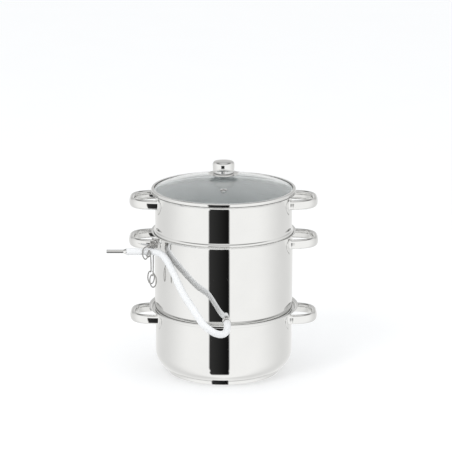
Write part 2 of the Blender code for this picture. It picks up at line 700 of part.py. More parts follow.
def rear_wire():
    """The rear wire starts with a hook over the front leg of the pot's handle."""
    leg = CLAMP_FRONT - HANDLE_HALF_SPAN
    leg_height = CLAMP_DROP - POT_HANDLE_DROP
    over = leg_height + HANDLE_DEPTH / 2 + CLEARANCE + WIRE_RADIUS
    behind = leg + HANDLE_THICKNESS / 2 + 2 * WIRE_RADIUS
    corner = HANDLE_THICKNESS / 2 - WIRE_RADIUS
    first = COIL_PITCH * (REAR_TURNS + 0.5)
    hook = [
        (HOOK_PLACE, behind, leg_height),
        (HOOK_PLACE, behind, over - corner - WIRE_RADIUS),
        (HOOK_PLACE, behind - WIRE_RADIUS, over - WIRE_RADIUS),
        (HOOK_PLACE, leg, over),
        (first, (leg + COIL_RADIUS) / 2, (over + COIL_RADIUS) / 2),
    ]
    turns = coil(first, REAR_TURNS)
    stem = -COIL_PITCH * (FRONT_TURNS + 0.5) + STEM_SHIFT
    lead = [
        (stem - JAW_WIDTH * w, JAW_OFFSET * share, -JAW_FALL * f)
        for (w, f), share in zip(REAR_LEAD_SHARES, LEAD_SPREAD_SHARES)
    ]
    return hook + turns + lead + jaw_and_pad(stem, 1)


def least_gap(points, radius):
    """The least distance between the surfaces of turns of one wire that aren't next to each other."""
    walked = [0.0]
    for a, b in zip(points, points[1:]):
        walked.append(walked[-1] + (b - a).length)
    gaps = [
        (points[i] - points[j]).length
        for i in range(len(points))
        for j in range(i)
        if walked[i] - walked[j] > math.pi * COIL_RADIUS
    ]
    return min(gaps) - 2 * radius


def clamp(pot):
    """The spring clamp: two bent wires that wind into one coil, the rear one hooked over the handle."""
    body = frame("clamp_pivot", (-CLAMP_PLACE, -CLAMP_FRONT, CLAMP_HEIGHT))
    body.parent = pot
    for name, route in (("clamp_front_wire", front_wire()), ("clamp_rear_wire", rear_wire())):
        points = smooth(route, WIRE_STEP)
        print(name, "least gap to itself, mm:", round(least_gap(points, WIRE_RADIUS) * 1000, 2))
        tube(name, points, WIRE_RADIUS, 1, body, SPRING)


def basket_path():
    """The inner outline of the fruit basket, from the middle of its bottom up to its rim."""
    corner = BASKET_CORNER_RADIUS - BASKET_WALL
    taper = TAPER_RADIUS - BASKET_WALL
    path = [(0.0, BASKET_WALL)]
    path += arc((taper - corner, BASKET_CORNER_RADIUS), corner, -90, 0, 3)
    bulge = BEAD_RADIUS - BASKET_WALL
    low = math.degrees(math.acos((TUCK_RADIUS - BASKET_WALL - BEAD_CENTRE) / bulge))
    high = math.degrees(math.acos((BASKET_RADIUS - BASKET_WALL - BEAD_CENTRE) / bulge))
    path += arc((BEAD_CENTRE, BEAD_HEIGHT), bulge, -low, high, 4)
    lip = (BASKET_RADIUS - BASKET_WALL + BASKET_LIP_BEND, BASKET_HEIGHT - BASKET_LIP_BEND)
    path += arc(lip, BASKET_LIP_BEND, 180, 90, 2)
    path.append((BASKET_LIP_RADIUS, BASKET_HEIGHT))
    return path


def fruit_basket(body):
    """The perforated basket, which sits on its bead in the juice pot's mouth."""
    path = basket_path()
    basket = turned("fruit_basket_body", walled(path, BASKET_WALL), body, POLISHED)
    spots = []
    for row in range(HOLE_ROWS):
        height = BEAD_HEIGHT - FIRST_ROW_DROP - HOLE_ROW_PITCH * row
        radius, lean = on_path(path[1:], height)
        tilt = Matrix.Rotation(lean, 4, "Y")
        for column in range(HOLE_COLUMNS):
            turn = Matrix.Rotation(math.tau * (column + 0.5) / HOLE_COLUMNS, 4, "Z")
            spots.append(turn @ Matrix.Translation((radius, 0.0, height)) @ tilt)
    for ring in range(1, FLOOR_RINGS + 1):
        count = FLOOR_RING_HOLES * ring
        for i in range(count):
            turn = Matrix.Rotation(math.tau * (i + 0.5) / count, 4, "Z")
            spots.append(turn @ Matrix.Translation((FLOOR_RING_PITCH * ring, 0.0, 0.0)))
    cut(basket, prisms("basket_holes", spots, HOLE_RADIUS, OVERRUN * 2, HOLE_SIDES, body))
    frozen(basket)
    handles("fruit_basket", BASKET_RADIUS, BASKET_HEIGHT - BASKET_HANDLE_DROP, body)


def dome(radius, drop):
    """The height of the glass over the lid's seat at a radius, a drop below its outer face."""
    crown = GLASS_TOP + DOME_RISE
    return crown - SPHERE_RADIUS + math.sqrt((SPHERE_RADIUS - drop) ** 2 - radius**2)


def lid(body):
    """The domed glass in its steel band, whose skirt centres it in the basket."""
    top = LID_BAND_HEIGHT
    path = [
        (LID_LIP_RADIUS, top),
        (LID_RADIUS - 2 * LID_EDGE_BEND, top),
        (LID_RADIUS, top - LID_EDGE_BEND),
        (LID_RADIUS, LID_EDGE_BEND),
        (LID_RADIUS - LID_EDGE_BEND, 0.0),
        (LID_SKIRT_RADIUS, 0.0),
        (LID_SKIRT_RADIUS, -LID_SKIRT_DROP),
    ]
    inner = pushed_out(path, LID_SHEET)
    frozen(turned("lid_band", path + inner[::-1], body, POLISHED))

    edge = LID_RADIUS - LID_SHEET - LID_EDGE_BEND / 2 - CLEARANCE
    width = (DOME_RADIUS - GLASS_SEAT_RADIUS) / DOME_RINGS
    rings = [GLASS_SEAT_RADIUS + width * i for i in range(DOME_RINGS + 1)]
    outline = [(DOME_RADIUS, GLASS_LOW)]
    outline += [(r, dome(r, GLASS_THICKNESS)) for r in rings[-2::-1]]
    outline += [(SCREW_HOLE_RADIUS, dome(GLASS_SEAT_RADIUS, drop)) for drop in (GLASS_THICKNESS, 0.0)]
    outline += [(r, dome(r, 0.0)) for r in rings]
    outline += [(edge, GLASS_TOP), (edge, GLASS_LOW)]
    glass = turned("lid_glass", outline, body, GLASS)
    lean = Matrix.Rotation(math.asin(VENT_PLACE / SPHERE_RADIUS), 4, "X")
    spot = Matrix.Translation((0.0, -VENT_PLACE, dome(VENT_PLACE, GLASS_THICKNESS / 2))) @ lean
    hole = prisms("vent_hole", [spot], VENT_HOLE_RADIUS, GLASS_THICKNESS * 3, 12, body)
    cut(glass, hole)
    frozen(glass)

    half = GLASS_THICKNESS / 2 + CLEARANCE
    far = half + VENT_FLANGE_THICKNESS
    neck = VENT_HOLE_RADIUS - CLEARANCE
    eyelet = [
        (VENT_BORE_RADIUS, -far),
        (VENT_BORE_RADIUS, far),
        (neck, far),
        (VENT_FLANGE_RADIUS, half + VENT_FLANGE_THICKNESS / 2),
        (VENT_FLANGE_RADIUS, half),
        (neck, half),
        (neck, -far),
    ]
    grommet = turned("lid_vent_eyelet", eyelet, body, POLISHED, SMALL_FACETS)
    grommet.matrix_local = spot
    frozen(grommet)


def knob(body):
    """The knob on its dished flange, and the screw, gasket and washer that hold it to the glass."""
    crown = dome(GLASS_SEAT_RADIUS, 0.0)
    gasket_low = crown + CLEARANCE
    gasket_top = gasket_low + GASKET_THICKNESS
    gasket = [
        (SCREW_HOLE_RADIUS, gasket_low),
        (SCREW_HOLE_RADIUS, gasket_top),
        (GASKET_RADIUS, gasket_top),
        (GASKET_RADIUS, gasket_low),
    ]
    frozen(turned("knob_gasket", gasket, body, SILICONE, SMALL_FACETS))

    flange_low = gasket_top + CLEARANCE
    rim = flange_low + FLANGE_DISH
    path = [(SCREW_HOLE_RADIUS, flange_low + FLANGE_THICKNESS)]
    path.append((FLANGE_SEAT_RADIUS, flange_low + FLANGE_THICKNESS))
    path.append(((FLANGE_SEAT_RADIUS + FLANGE_RADIUS) / 2, flange_low + FLANGE_THICKNESS + FLANGE_DISH / 3))
    path.append((FLANGE_RADIUS, rim + FLANGE_THICKNESS))
    frozen(turned("knob_flange", walled(path, FLANGE_THICKNESS), body, POLISHED, MIDDLE_FACETS))

    low = flange_low + FLANGE_THICKNESS + CLEARANCE
    grip = low + SCREW_GRIP
    shoulder = low + KNOB_HEIGHT - KNOB_CROWN_RISE - KNOB_CROWN_BEND
    outline = [(0.0, grip), (SCREW_HOLE_RADIUS, grip), (SCREW_HOLE_RADIUS, low), (KNOB_NECK_RADIUS, low)]
    outline += arc((KNOB_RADIUS - KNOB_CROWN_BEND, shoulder), KNOB_CROWN_BEND, 0, 75, 2)
    outline.append((0.0, low + KNOB_HEIGHT))
    frozen(turned("knob_cap", outline[::-1], body, POLISHED, MIDDLE_FACETS))

    washer_top = dome(GLASS_SEAT_RADIUS, GLASS_THICKNESS) - CLEARANCE
    washer_low = washer_top - WASHER_THICKNESS
    washer = [
        (SCREW_HOLE_RADIUS, washer_low),
        (SCREW_HOLE_RADIUS, washer_top),
        (WASHER_RADIUS, washer_top),
        (WASHER_RADIUS, washer_low),
    ]
    frozen(turned("knob_washer", washer, body, SATIN, SMALL_FACETS))

    head_top = washer_low - CLEARANCE
    head_low = head_top - SCREW_HEAD_HEIGHT
    screw = [
        (0.0, grip - CLEARANCE),
        (SCREW_RADIUS, grip - CLEARANCE),
        (SCREW_RADIUS, head_top),
        (SCREW_HEAD_RADIUS, head_top),
        (SCREW_HEAD_RADIUS, head_top - SCREW_HEAD_HEIGHT / 3),
        (SCREW_HEAD_RADIUS * 2 / 3, head_low),
        (0.0, head_low),
    ]
    frozen(turned("knob_screw", screw, body, SATIN, SMALL_FACETS))


def build():
    water_pan()
    pot = frame("juice_pot_frame", (0.0, 0.0, POT_BASE))
    juice_pot(pot)
    steam_cone(pot)
    spout(pot)
    hose(pot)
    clamp(pot)
    basket = frame("fruit_basket_frame", (0.0, 0.0, BASKET_BASE))
    fruit_basket(basket)
    cover = frame("lid_frame", (0.0, 0.0, LID_SEAT))
    lid(cover)
    knob(cover)


build()
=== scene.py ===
import bisect
from itertools import accumulate, pairwise
from math import acos, asin, atan, atan2, ceil, cos, degrees, dist, hypot, pi, radians, sin, sqrt, tan, tau

import bmesh
import bpy
from mathutils import Matrix, Vector


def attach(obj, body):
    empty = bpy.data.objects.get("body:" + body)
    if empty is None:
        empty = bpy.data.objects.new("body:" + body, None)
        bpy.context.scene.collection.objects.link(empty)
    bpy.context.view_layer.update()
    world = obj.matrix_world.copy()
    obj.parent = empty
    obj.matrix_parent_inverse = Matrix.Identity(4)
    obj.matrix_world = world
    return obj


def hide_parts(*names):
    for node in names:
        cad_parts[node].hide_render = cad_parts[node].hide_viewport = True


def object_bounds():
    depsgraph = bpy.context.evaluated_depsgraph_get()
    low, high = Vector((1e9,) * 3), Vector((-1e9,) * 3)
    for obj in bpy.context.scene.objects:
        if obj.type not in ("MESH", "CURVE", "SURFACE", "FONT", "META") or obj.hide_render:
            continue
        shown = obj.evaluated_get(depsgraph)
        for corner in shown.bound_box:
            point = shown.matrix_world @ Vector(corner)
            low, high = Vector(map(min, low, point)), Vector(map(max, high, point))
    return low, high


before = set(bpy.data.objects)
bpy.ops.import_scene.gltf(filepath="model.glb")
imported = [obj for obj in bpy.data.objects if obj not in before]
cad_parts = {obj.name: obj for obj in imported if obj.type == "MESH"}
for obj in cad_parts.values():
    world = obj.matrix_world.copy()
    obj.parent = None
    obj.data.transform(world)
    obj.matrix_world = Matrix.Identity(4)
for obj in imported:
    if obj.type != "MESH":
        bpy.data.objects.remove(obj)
CAD_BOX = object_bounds()

# Sizes are in metres and angles in degrees, unless a comment says otherwise.

# How finely the shown pieces are made
SEGMENTS = 240  # round a vessel
SPOUT_SEGMENTS, SMALL_SEGMENTS, KNOB_SEGMENTS, CONE_SEGMENTS = 48, 64, 128, 160
DRILL_SIDES, SPOUT_DRILL_SIDES = 40, 32
SHEET_STEP = 0.0018  # along the basket's profile
SHARP_ANGLE = 38.0
TOUCHING, AT_START = 0.000001, 1e-9
LENGTH_KEYS, TURN_KEYS = 1e8, 10000  # per metre and per segment: points that round alike are one
CLEARANCE = 0.0003

# Sizes of the pieces, as in the part
PAN_RADIUS, PAN_HEIGHT, PAN_WALL, PAN_CORNER = 0.128, 0.125, 0.0007, 0.035
PAN_LEDGE_DROP, PAN_LEDGE_BEND, PAN_COLLAR, PAN_COLLAR_BEND = 0.007, 0.0025, 0.1335, 0.0015
PAN_LIP_BEND, PAN_LIP, PAN_HANDLE_DROP = 0.0055, 0.140, 0.0178
BASE_RADIUS, CAP_WALL, CORE_THICKNESS, CAP_EDGE = 0.106, 0.0006, 0.0035, 0.0012
POT_RADIUS, POT_HEIGHT, POT_WALL, POT_CORNER = 0.129, 0.160, 0.0007, 0.014
POT_LIP_BEND, POT_LIP, POT_HANDLE_DROP, STEAM_OPENING = 0.0062, 0.135, 0.017, 0.046
CONE_FOOT, CONE_FOOT_BEND, CONE_TOP, CONE_CROWN_BEND = 0.007, 0.003, 0.026, 0.009
CONE_HEIGHT, CONE_WALL, CONE_HOLES, CONE_HOLE, CONE_HOLE_DROP = 0.071, 0.0007, 10, 0.0032, 0.017
SPOUT_RADIUS, SPOUT_WALL, SPOUT_HEIGHT, SPOUT_TURN = 0.0047, 0.0008, 0.021, 2.5
SPOUT_INSET, SPOUT_REACH, COLLAR_RADIUS, COLLAR_LENGTH = 0.003, 0.031, 0.0078, 0.003
HOSE_RADIUS, HOSE_BORE, HOSE_SLEEVE, HOSE_END = 0.0065, 0.0050, 0.0185, 0.178
NOZZLE_RADIUS, NOZZLE_FLARE, NOZZLE_FLARE_LENGTH, NOZZLE_LIP = 0.0035, 0.0054, 0.0055, 0.0008
NOZZLE_LENGTH, NOZZLE_WALL = 0.037, 0.0008
BASKET_RADIUS, BASKET_HEIGHT, BASKET_WALL, BASKET_CORNER = 0.1275, 0.155, 0.0007, 0.037
BASKET_LIP_BEND, BASKET_LIP, BASKET_HANDLE_DROP = 0.0074, 0.135, 0.0172
BEAD_HEIGHT, BEAD_RADIUS, BEAD_REACH, TUCK, TAPER = 0.081, 0.0055, 0.1302, 0.1265, 0.1228
HOLE_RADIUS, HOLE_COLUMNS, HOLE_ROWS, FIRST_ROW_DROP, HOLE_ROW_PITCH = 0.0021, 40, 4, 0.0215, 0.0145
FLOOR_PITCH, FLOOR_HOLES, FLOOR_RINGS = 0.026, 6, 2
HANDLE_REACH, HANDLE_SPAN, HANDLE_THICKNESS, HANDLE_DEPTH = 0.0475, 0.042, 0.011, 0.018
HANDLE_SQUARENESS, HANDLE_ROOT_SHARE = 3.0, 0.86
PLATE_THICKNESS, PLATE_WIDTH, PLATE_RISE, PLATE_FALL = 0.0012, 0.015, 0.0075, 0.019
LEAF = ((0.0, 0.55), (0.12, 0.88), (0.36, 1.0), (0.72, 0.62), (1.0, 0.08))  # down, half width
CLAMP_PLACE, CLAMP_FRONT, CLAMP_DROP = 0.126, 0.070, 0.010
WIRE_RADIUS, COIL_RADIUS, COIL_PITCH, COIL_POINTS = 0.0012, 0.0054, 0.0029, 8
FRONT_TURNS, REAR_TURNS, STEM_SHIFT, STEM_FALL = 2.25, 1.5, 0.0045, 0.053
PAD_WIDTH, PAD_HEIGHT, PAD_SWEEP, PAD_POINTS, PAD_SPREAD = 0.006, 0.0125, 330.0, 12, 0.012
HOOK_PLACE, JAW_WIDTH, JAW_FALL = -0.005, 0.0142, 0.026
FRONT_LEAD = ((0.211, 0.085), (0.662, 0.115))  # across and down, as shares of the jaw
REAR_LEAD = ((-0.246, 0.2), (0.106, 0.173), (0.563, 0.162))
REAR_SPREAD = (0.56, 0.94, 1.0)
JAW = (
    (0.944, 0.292), (1.0, 0.538), (0.972, 0.788), (0.669, 1.0),
    (0.366, 0.815), (0.317, 0.527), (0.162, 0.369), (0.0, 0.638),
)
LID_RADIUS, LID_SHEET, LID_BAND, LID_LIP, LID_EDGE = 0.1345, 0.0007, 0.0066, 0.1292, 0.0012
LID_SKIRT, LID_SKIRT_DROP, GLASS, GLASS_BORDER, DOME_RISE = 0.1246, 0.0065, 0.004, 0.004, 0.023
GLASS_SEAT, VENT_PLACE, VENT_HOLE, VENT_BORE = 0.017, 0.079, 0.004, 0.0018
VENT_FLANGE, VENT_FLANGE_THICKNESS, VENT_EDGE = 0.0068, 0.0013, 0.0008
KNOB_RADIUS, KNOB_NECK, KNOB_HEIGHT, KNOB_BEND, KNOB_RISE = 0.0205, 0.0197, 0.027, 0.006, 0.0015
FLANGE_RADIUS, FLANGE_THICKNESS, FLANGE_DISH, FLANGE_SEAT = 0.0285, 0.0012, 0.0026, 0.0202
GASKET_THICKNESS, SCREW_RADIUS, SCREW_GRIP = 0.0012, 0.0025, 0.012

# Places worked out from the sizes
PAN_FLOOR = CAP_WALL + CORE_THICKNESS + 2 * CLEARANCE
PAN_INSIDE = PAN_RADIUS - PAN_WALL
PAN_LEDGE = PAN_HEIGHT - PAN_LEDGE_DROP
POT_INSIDE = POT_RADIUS - POT_WALL
POT_NEST = sqrt(
    (POT_CORNER + PAN_LEDGE_BEND + CLEARANCE) ** 2
    - (POT_CORNER + PAN_LEDGE_BEND - POT_RADIUS + PAN_INSIDE) ** 2
)
POT_BASE = PAN_LEDGE - PAN_LEDGE_BEND + POT_NEST - POT_CORNER
BEAD_CENTRE = BEAD_REACH - BEAD_RADIUS
BEAD_SEAT = sqrt(
    (BEAD_RADIUS + POT_LIP_BEND + CLEARANCE) ** 2 - (POT_INSIDE + POT_LIP_BEND - BEAD_CENTRE) ** 2
)
BASKET_BASE = POT_BASE + POT_HEIGHT - POT_LIP_BEND + BEAD_SEAT - BEAD_HEIGHT
BASKET_FLAT = TAPER - BASKET_CORNER  # how far its floor is flat
LID_SEAT = BASKET_BASE + BASKET_HEIGHT + CLEARANCE
GLASS_LOW = LID_SHEET + CLEARANCE
GLASS_TOP = GLASS_LOW + GLASS
DOME_RADIUS = LID_RADIUS - LID_SHEET - CLEARANCE - GLASS_BORDER
SPHERE = (DOME_RADIUS**2 + DOME_RISE**2) / (2 * DOME_RISE)
SCREW_HOLE = SCREW_RADIUS + CLEARANCE
HOSE_DROP = COIL_RADIUS + WIRE_RADIUS + CLEARANCE + HOSE_RADIUS
JAW_OFFSET = HOSE_RADIUS + CLEARANCE + WIRE_RADIUS
CLAMP_HEIGHT = POT_HEIGHT - CLAMP_DROP
CLAMP_PIVOT = Vector((-CLAMP_PLACE, -CLAMP_FRONT, POT_BASE + CLAMP_HEIGHT))
SPOUT_AROUND = Matrix.Rotation(radians(SPOUT_TURN), 4, "Z")

# The hose's route between the spout and the clamp, from the pot's own base
HOSE_ROUTE = (
    (0.0050, -0.1753, 0.0157), (-0.0010, -0.1866, 0.0140), (-0.0105, -0.1950, 0.0168),
    (-0.0225, -0.1987, 0.0238), (-0.0375, -0.1950, 0.0365), (-0.0540, -0.1750, 0.0565),
    (-0.0740, -0.1405, 0.0780), (-0.0920, -0.1080, 0.1080), (-0.1065, -0.0855, 0.1280),
    (-0.1190, -0.0745, 0.1350),
)

# Detail that only the shown pieces have
HOSE_STEP, HOSE_SIDES, WIRE_STEP, WIRE_SIDES = 0.0018, 40, 0.0007, 20
HANDLE_STEPS, HANDLE_SIDES, HANDLE_SECTION, HANDLE_WELD = 150, 40, 2.3, 0.0048
HANDLE_FLARE = (  # the weld's fillet: out from the plate, and thicker by
    (0.0, 0.0013), (0.0006, 0.0011), (0.0010, 0.0006), (0.0016, 0.00025), (0.0026, 0.00005), (0.0038, 0.0),
)
PLATE_COLUMNS, PLATE_ROWS, PLATE_EDGE = 18, 32, 0.12
HOLE_BEVEL, HOLE_EDGE, HOLE_APRON, HOLE_STEPS, FLOOR_HOLE_STEPS = 0.0005, 0.0002, 0.3, 6, 10
BEAD_EASING, EASING_ROUNDS, LEAST_STEP = 0.0026, 5, 0.0003
ABOVE_SPOUT, BELOW_LIP, COLLAR_LEAN = 0.011, 0.020, 0.001
CONE_BEND, CONE_DRILL, DOME_RINGS = 0.004, 0.004, 36
KNOB_EDGE, KNOB_FOOT, KNOB_STEPS, KNOB_SWELL = 0.0004, 0.0006, 12, 1.5
OUTSIDE, INSIDE, EDGE = 0, 1, 2  # which of its piece's looks a face takes


# ---- camera

CAMERA_PLACE = (0.0045, -3.9, 1.275)
CAMERA_TILT, LENS, SENSOR, FAR_CLIP = 75.64, 171.95, 36.0, 60.0


def put_in(name, data):
    obj = bpy.data.objects.new(name, data)
    bpy.context.scene.collection.objects.link(obj)
    return obj


def make_camera():
    data = bpy.data.cameras.new("camera")
    data.sensor_width = SENSOR
    data.lens = LENS
    data.clip_end = FAR_CLIP
    camera = put_in("camera", data)
    camera.location = CAMERA_PLACE
    camera.rotation_euler = (radians(CAMERA_TILT), 0.0, 0.0)
    bpy.context.scene.camera = camera


# ---- materials

class Nodes:
    """Adds and joins nodes of one tree."""

    def __init__(self, owner):
        owner.use_nodes = True
        self.tree = owner.node_tree

    def add(self, kind, **settings):
        node = self.tree.nodes.new("ShaderNode" + kind)
        for key, value in settings.items():
            setattr(node, key, value)
        return node

    def feed(self, socket, value):
        """Joins a node's output to the socket, or sets its own value."""
        if isinstance(value, bpy.types.NodeSocket):
            self.tree.links.new(value, socket)
        else:
            socket.default_value = value

    def put(self, node, **values):
        """Feeds sockets by their names, and gives the node's first output."""
        for key, value in values.items():
            self.feed(node.inputs[key.replace("_", " ")], value)
        return node.outputs[0]

    def fill(self, node, *values):
        """Feeds sockets in their order, and gives the node's first output."""
        for socket, value in zip(node.inputs, values):
            self.feed(socket, value)
        return node.outputs[0]

    def maths(self, operation, *values, clamp=False):
        return self.fill(self.add("Math", operation=operation, use_clamp=clamp), *values)

    def ranged(self, value, low, high, new_low, new_high, smooth=False):
        node = self.add("MapRange", clamp=True, interpolation_type="SMOOTHSTEP" if smooth else "LINEAR")
        return self.fill(node, value, low, high, new_low, new_high)

    def noise(self, vector, scale, detail=2.0, roughness=0.5):
        return self.put(self.add("TexNoise"), Vector=vector, Scale=scale, Detail=detail, Roughness=roughness)

    def blend(self, share, first, second):
        node = self.add("Mix", data_type="RGBA")
        for i, value in ((0, share), (6, (*first, 1.0)), (7, (*second, 1.0))):
            self.feed(node.inputs[i], value)
        return node.outputs[2]

    def bump(self, height, strength, distance, **under):
        return self.put(self.add("Bump"), Height=height, Strength=strength, Distance=distance, **under)

    def seen(self):
        """1 for what the camera sees, straight or through glass, and 0 for other light."""
        rays = self.add("LightPath")
        return self.maths("MAXIMUM", rays.outputs["Is Camera Ray"], rays.outputs["Is Transmission Ray"])

    def split(self, vector):
        node = self.add("SeparateXYZ")
        self.fill(node, vector)
        return node.outputs


class Look(Nodes):
    """A material, with its shader and the piece's own coordinates."""

    def __init__(self, name):
        self.made = bpy.data.materials.new(name)
        super().__init__(self.made)
        self.shader = self.tree.nodes["Principled BSDF"]
        self.place = self.add("TexCoord").outputs["Object"]

    def finished(self, **values):
        self.put(self.shader, **values)
        return self.made

    def round_the_axis(self, along):
        """Coordinates that draw a noise out round the vertical axis, as turning and polishing leave it."""
        x, y, z = self.split(self.place)
        square = self.maths("ADD", self.maths("MULTIPLY", x, x), self.maths("MULTIPLY", y, y))
        across = self.maths("ADD", self.maths("SQRT", square), z)
        x, y = self.maths("MULTIPLY", x, along), self.maths("MULTIPLY", y, along)
        return self.fill(self.add("CombineXYZ"), x, y, across)


def steel(name, *tones, rough, smear, lines, wave, metallic=1.0):
    """Stainless steel: turning lines round the axis, faint smears, and the slow waviness of drawn sheet."""
    look = Look(name)
    fine = look.noise(look.round_the_axis(0.012), scale=2600.0, detail=3.0, roughness=0.6)
    slow = look.noise(look.place, scale=16.0, detail=3.0, roughness=0.55)
    broad = look.noise(look.place, scale=7.0, detail=1.0)
    smears = look.ranged(slow, 0.45, 0.72, 0.0, smear, smooth=True)
    hair = look.ranged(fine, 0.3, 0.7, -lines, lines)
    return look.finished(
        Base_Color=look.blend(look.ranged(slow, 0.3, 0.7, 0.0, 1.0), *tones),
        Roughness=look.maths("ADD", look.maths("ADD", smears, hair), rough, clamp=True),
        Metallic=metallic,
        Normal=look.bump(fine, lines * 0.8, 0.00006, Normal=look.bump(broad, wave, 0.004)),
    )


def grained(name, tones, cloud, grain, rough, bump, rippled=False, **shading):
    """Two tones in a cloud, and a grain in the roughness. The height goes by the grain or the cloud."""
    look = Look(name)
    clouds, grains = look.noise(look.place, *cloud), look.noise(look.place, *grain)
    return look.finished(
        Base_Color=look.blend(clouds, *tones),
        Roughness=look.ranged(grains, *rough),
        Normal=look.bump(clouds if rippled else grains, *bump),
        **shading,
    )


POLISHED = steel(
    "polished_steel", (0.855, 0.855, 0.85), (0.885, 0.885, 0.88),
    rough=0.030, smear=0.035, lines=0.012, wave=0.035,
)
SATIN = steel(
    "satin_steel", (0.70, 0.70, 0.69), (0.76, 0.76, 0.75),
    rough=0.24, smear=0.08, lines=0.09, wave=0.05,
)
# The vessels' insides: a real brushed finish, partly painted light. Its near-white tone and mostly diffuse
# shading (metallic 0.35) lift insides that shade would darken
BRUSHED_PAINTED_LIGHT = steel(
    "brushed_inside_painted_light", (0.92, 0.92, 0.915), (0.97, 0.97, 0.965),
    rough=0.36, smear=0.08, lines=0.12, wave=0.05, metallic=0.35,
)
# Painted shade: near-black steel on the walls and bevels of the basket's holes, standing in for the shade
# inside them
HOLE_SHADE = steel(
    "hole_edge_painted_shade", (0.045, 0.045, 0.045), (0.08, 0.08, 0.08),
    rough=0.50, smear=0.08, lines=0.05, wave=0.0, metallic=0.6,
)
# Bright drawn wire: fine lengthways marks and a slightly uneven grey
SPRING = grained(
    "spring_wire", ((0.42, 0.415, 0.405), (0.58, 0.575, 0.565)), cloud=(90.0,), grain=(1400.0, 3.0, 0.7),
    rough=(0.25, 0.75, 0.12, 0.30), bump=(0.10, 0.00008), Metallic=1.0,
)
ALUMINIUM = grained(
    "plain_aluminium", ((0.72, 0.73, 0.74), (0.82, 0.83, 0.84)), cloud=(900.0, 4.0, 0.7),
    grain=(900.0, 4.0, 0.7), rough=(0.3, 0.7, 0.34, 0.50), bump=(0.15, 0.0001), Metallic=1.0,
)
# Milky and translucent: soft sheen, faint die lines and small cloudy changes of tone
SILICONE = grained(
    "milky_silicone", ((0.95, 0.96, 0.97), (0.975, 0.98, 0.985)), cloud=(45.0, 3.0), grain=(1100.0, 3.0, 0.7),
    rough=(0.3, 0.75, 0.26, 0.44), bump=(0.06, 0.0001), Transmission_Weight=0.02, IOR=1.41,
    Subsurface_Weight=0.15, Subsurface_Radius=(0.002, 0.002, 0.002), Subsurface_Scale=1.0,
)
# Clear and tempered: a faint cool tint, a very slight ripple and a trace of wiping marks
GLASS_LOOK = grained(
    "tempered_glass", ((0.925, 0.965, 0.975), (0.955, 0.985, 0.99)), cloud=(14.0, 1.0),
    grain=(60.0, 4.0, 0.65), rough=(0.55, 0.8, 0.0, 0.035, True), bump=(0.03, 0.002), rippled=True,
    Transmission_Weight=1.0, IOR=1.5,
)


# ---- shapes

def arc(centre, radius, start, end, steps):
    angles = [radians(start + (end - start) * i / steps) for i in range(steps + 1)]
    return [(centre[0] + radius * cos(a), centre[1] + radius * sin(a)) for a in angles]


def mixed(first, second, share):
    return tuple(a + (b - a) * share for a, b in zip(first, second))


def pushed_out(path, distance):
    """The path moved sideways by a distance, each corner mitred."""
    normals = []
    for (r0, z0), (r1, z1) in pairwise(path):
        length = hypot(r1 - r0, z1 - z0)
        normals.append(((z1 - z0) / length, (r0 - r1) / length))
    moved = []
    for (r, z), before, after in zip(path, [normals[0], *normals], [*normals, normals[-1]]):
        scale = distance / (1 + before[0] * after[0] + before[1] * after[1])
        moved.append((r + (before[0] + after[0]) * scale, z + (before[1] + after[1]) * scale))
    return moved


def round_end(near, far, before, steps=4):
    """Points between the two faces of a sheet's end, bulging the way that the path was going."""
    centre = (Vector(near) + Vector(far)) / 2
    side = Vector(near) - centre
    ahead = (Vector(near) - Vector(before)).normalized() * side.length
    turns = [pi * i / steps for i in range(1, steps)]
    return [tuple(centre + side * cos(a) + ahead * sin(a)) for a in turns]


def walled(path, wall, steps=4):
    """Along one face of a sheet, round its end and back along its other face."""
    outer = pushed_out(path, wall)
    return path + round_end(path[-1], outer[-1], path[-2], steps) + outer[::-1]


def rounded(corners, steps=6, closed=False):
    """A path through corners (r, z, bend), each rounded by its own bend."""
    count = len(corners)
    path = []
    for i, (r, z, bend) in enumerate(corners):
        if not bend or not closed and i in (0, count - 1):
            path.append((r, z))
            continue
        here = Vector((r, z))
        back = (Vector(corners[i - 1][:2]) - here).normalized()
        on = (Vector(corners[(i + 1) % count][:2]) - here).normalized()
        half = back.angle(on) / 2
        centre = here + (back + on).normalized() * bend / sin(half)
        start = here + back * bend / tan(half) - centre
        end = here + on * bend / tan(half) - centre
        sweep = start.angle(end)
        if start.x * end.y - start.y * end.x < 0:
            sweep = -sweep
        for k in range(steps + 1):
            c, s = cos(sweep * k / steps), sin(sweep * k / steps)
            path.append((centre.x + start.x * c - start.y * s, centre.y + start.x * s + start.y * c))
    return path


def bowed(angle, squareness):
    """A point of a unit circle that is drawn out towards a square."""
    c, s = cos(angle), sin(angle)
    share = (abs(c) ** squareness + abs(s) ** squareness) ** (-1 / squareness)
    return c * share, s * share


def between(low, high):
    """Faces from one closed loop of points to the next. The loop at a pole is one point over and over."""
    faces = []
    for k in range(len(low)):
        on = (k + 1) % len(low)
        corners = tuple(dict.fromkeys((low[k], low[on], high[on], high[k])))
        if len(corners) > 2:
            faces.append(corners)
    return faces


def new_mesh(verts, faces, marks=None):
    mesh = bpy.data.meshes.new("shape")
    mesh.from_pydata(verts, [], faces)
    if marks:
        mesh.polygons.foreach_set("material_index", marks)
    return mesh


def taken(shape, mesh=None):
    """What the shape holds, as a new mesh or in place of a mesh's own."""
    mesh = mesh or bpy.data.meshes.new("shape")
    shape.to_mesh(mesh)
    shape.free()
    return mesh


def lofted(rows, closed=False, capped=False):
    """A skin over loops of points, which meets itself or ends in flat caps."""
    sides = len(rows[0])
    loops = [list(range(i * sides, (i + 1) * sides)) for i in range(len(rows))]
    if closed:
        loops.append(loops[0])
    faces = [face for low, high in pairwise(loops) for face in between(low, high)]
    if capped:
        faces += [loops[0], loops[-1][::-1]]
    return new_mesh([point for row in rows for point in row], faces)


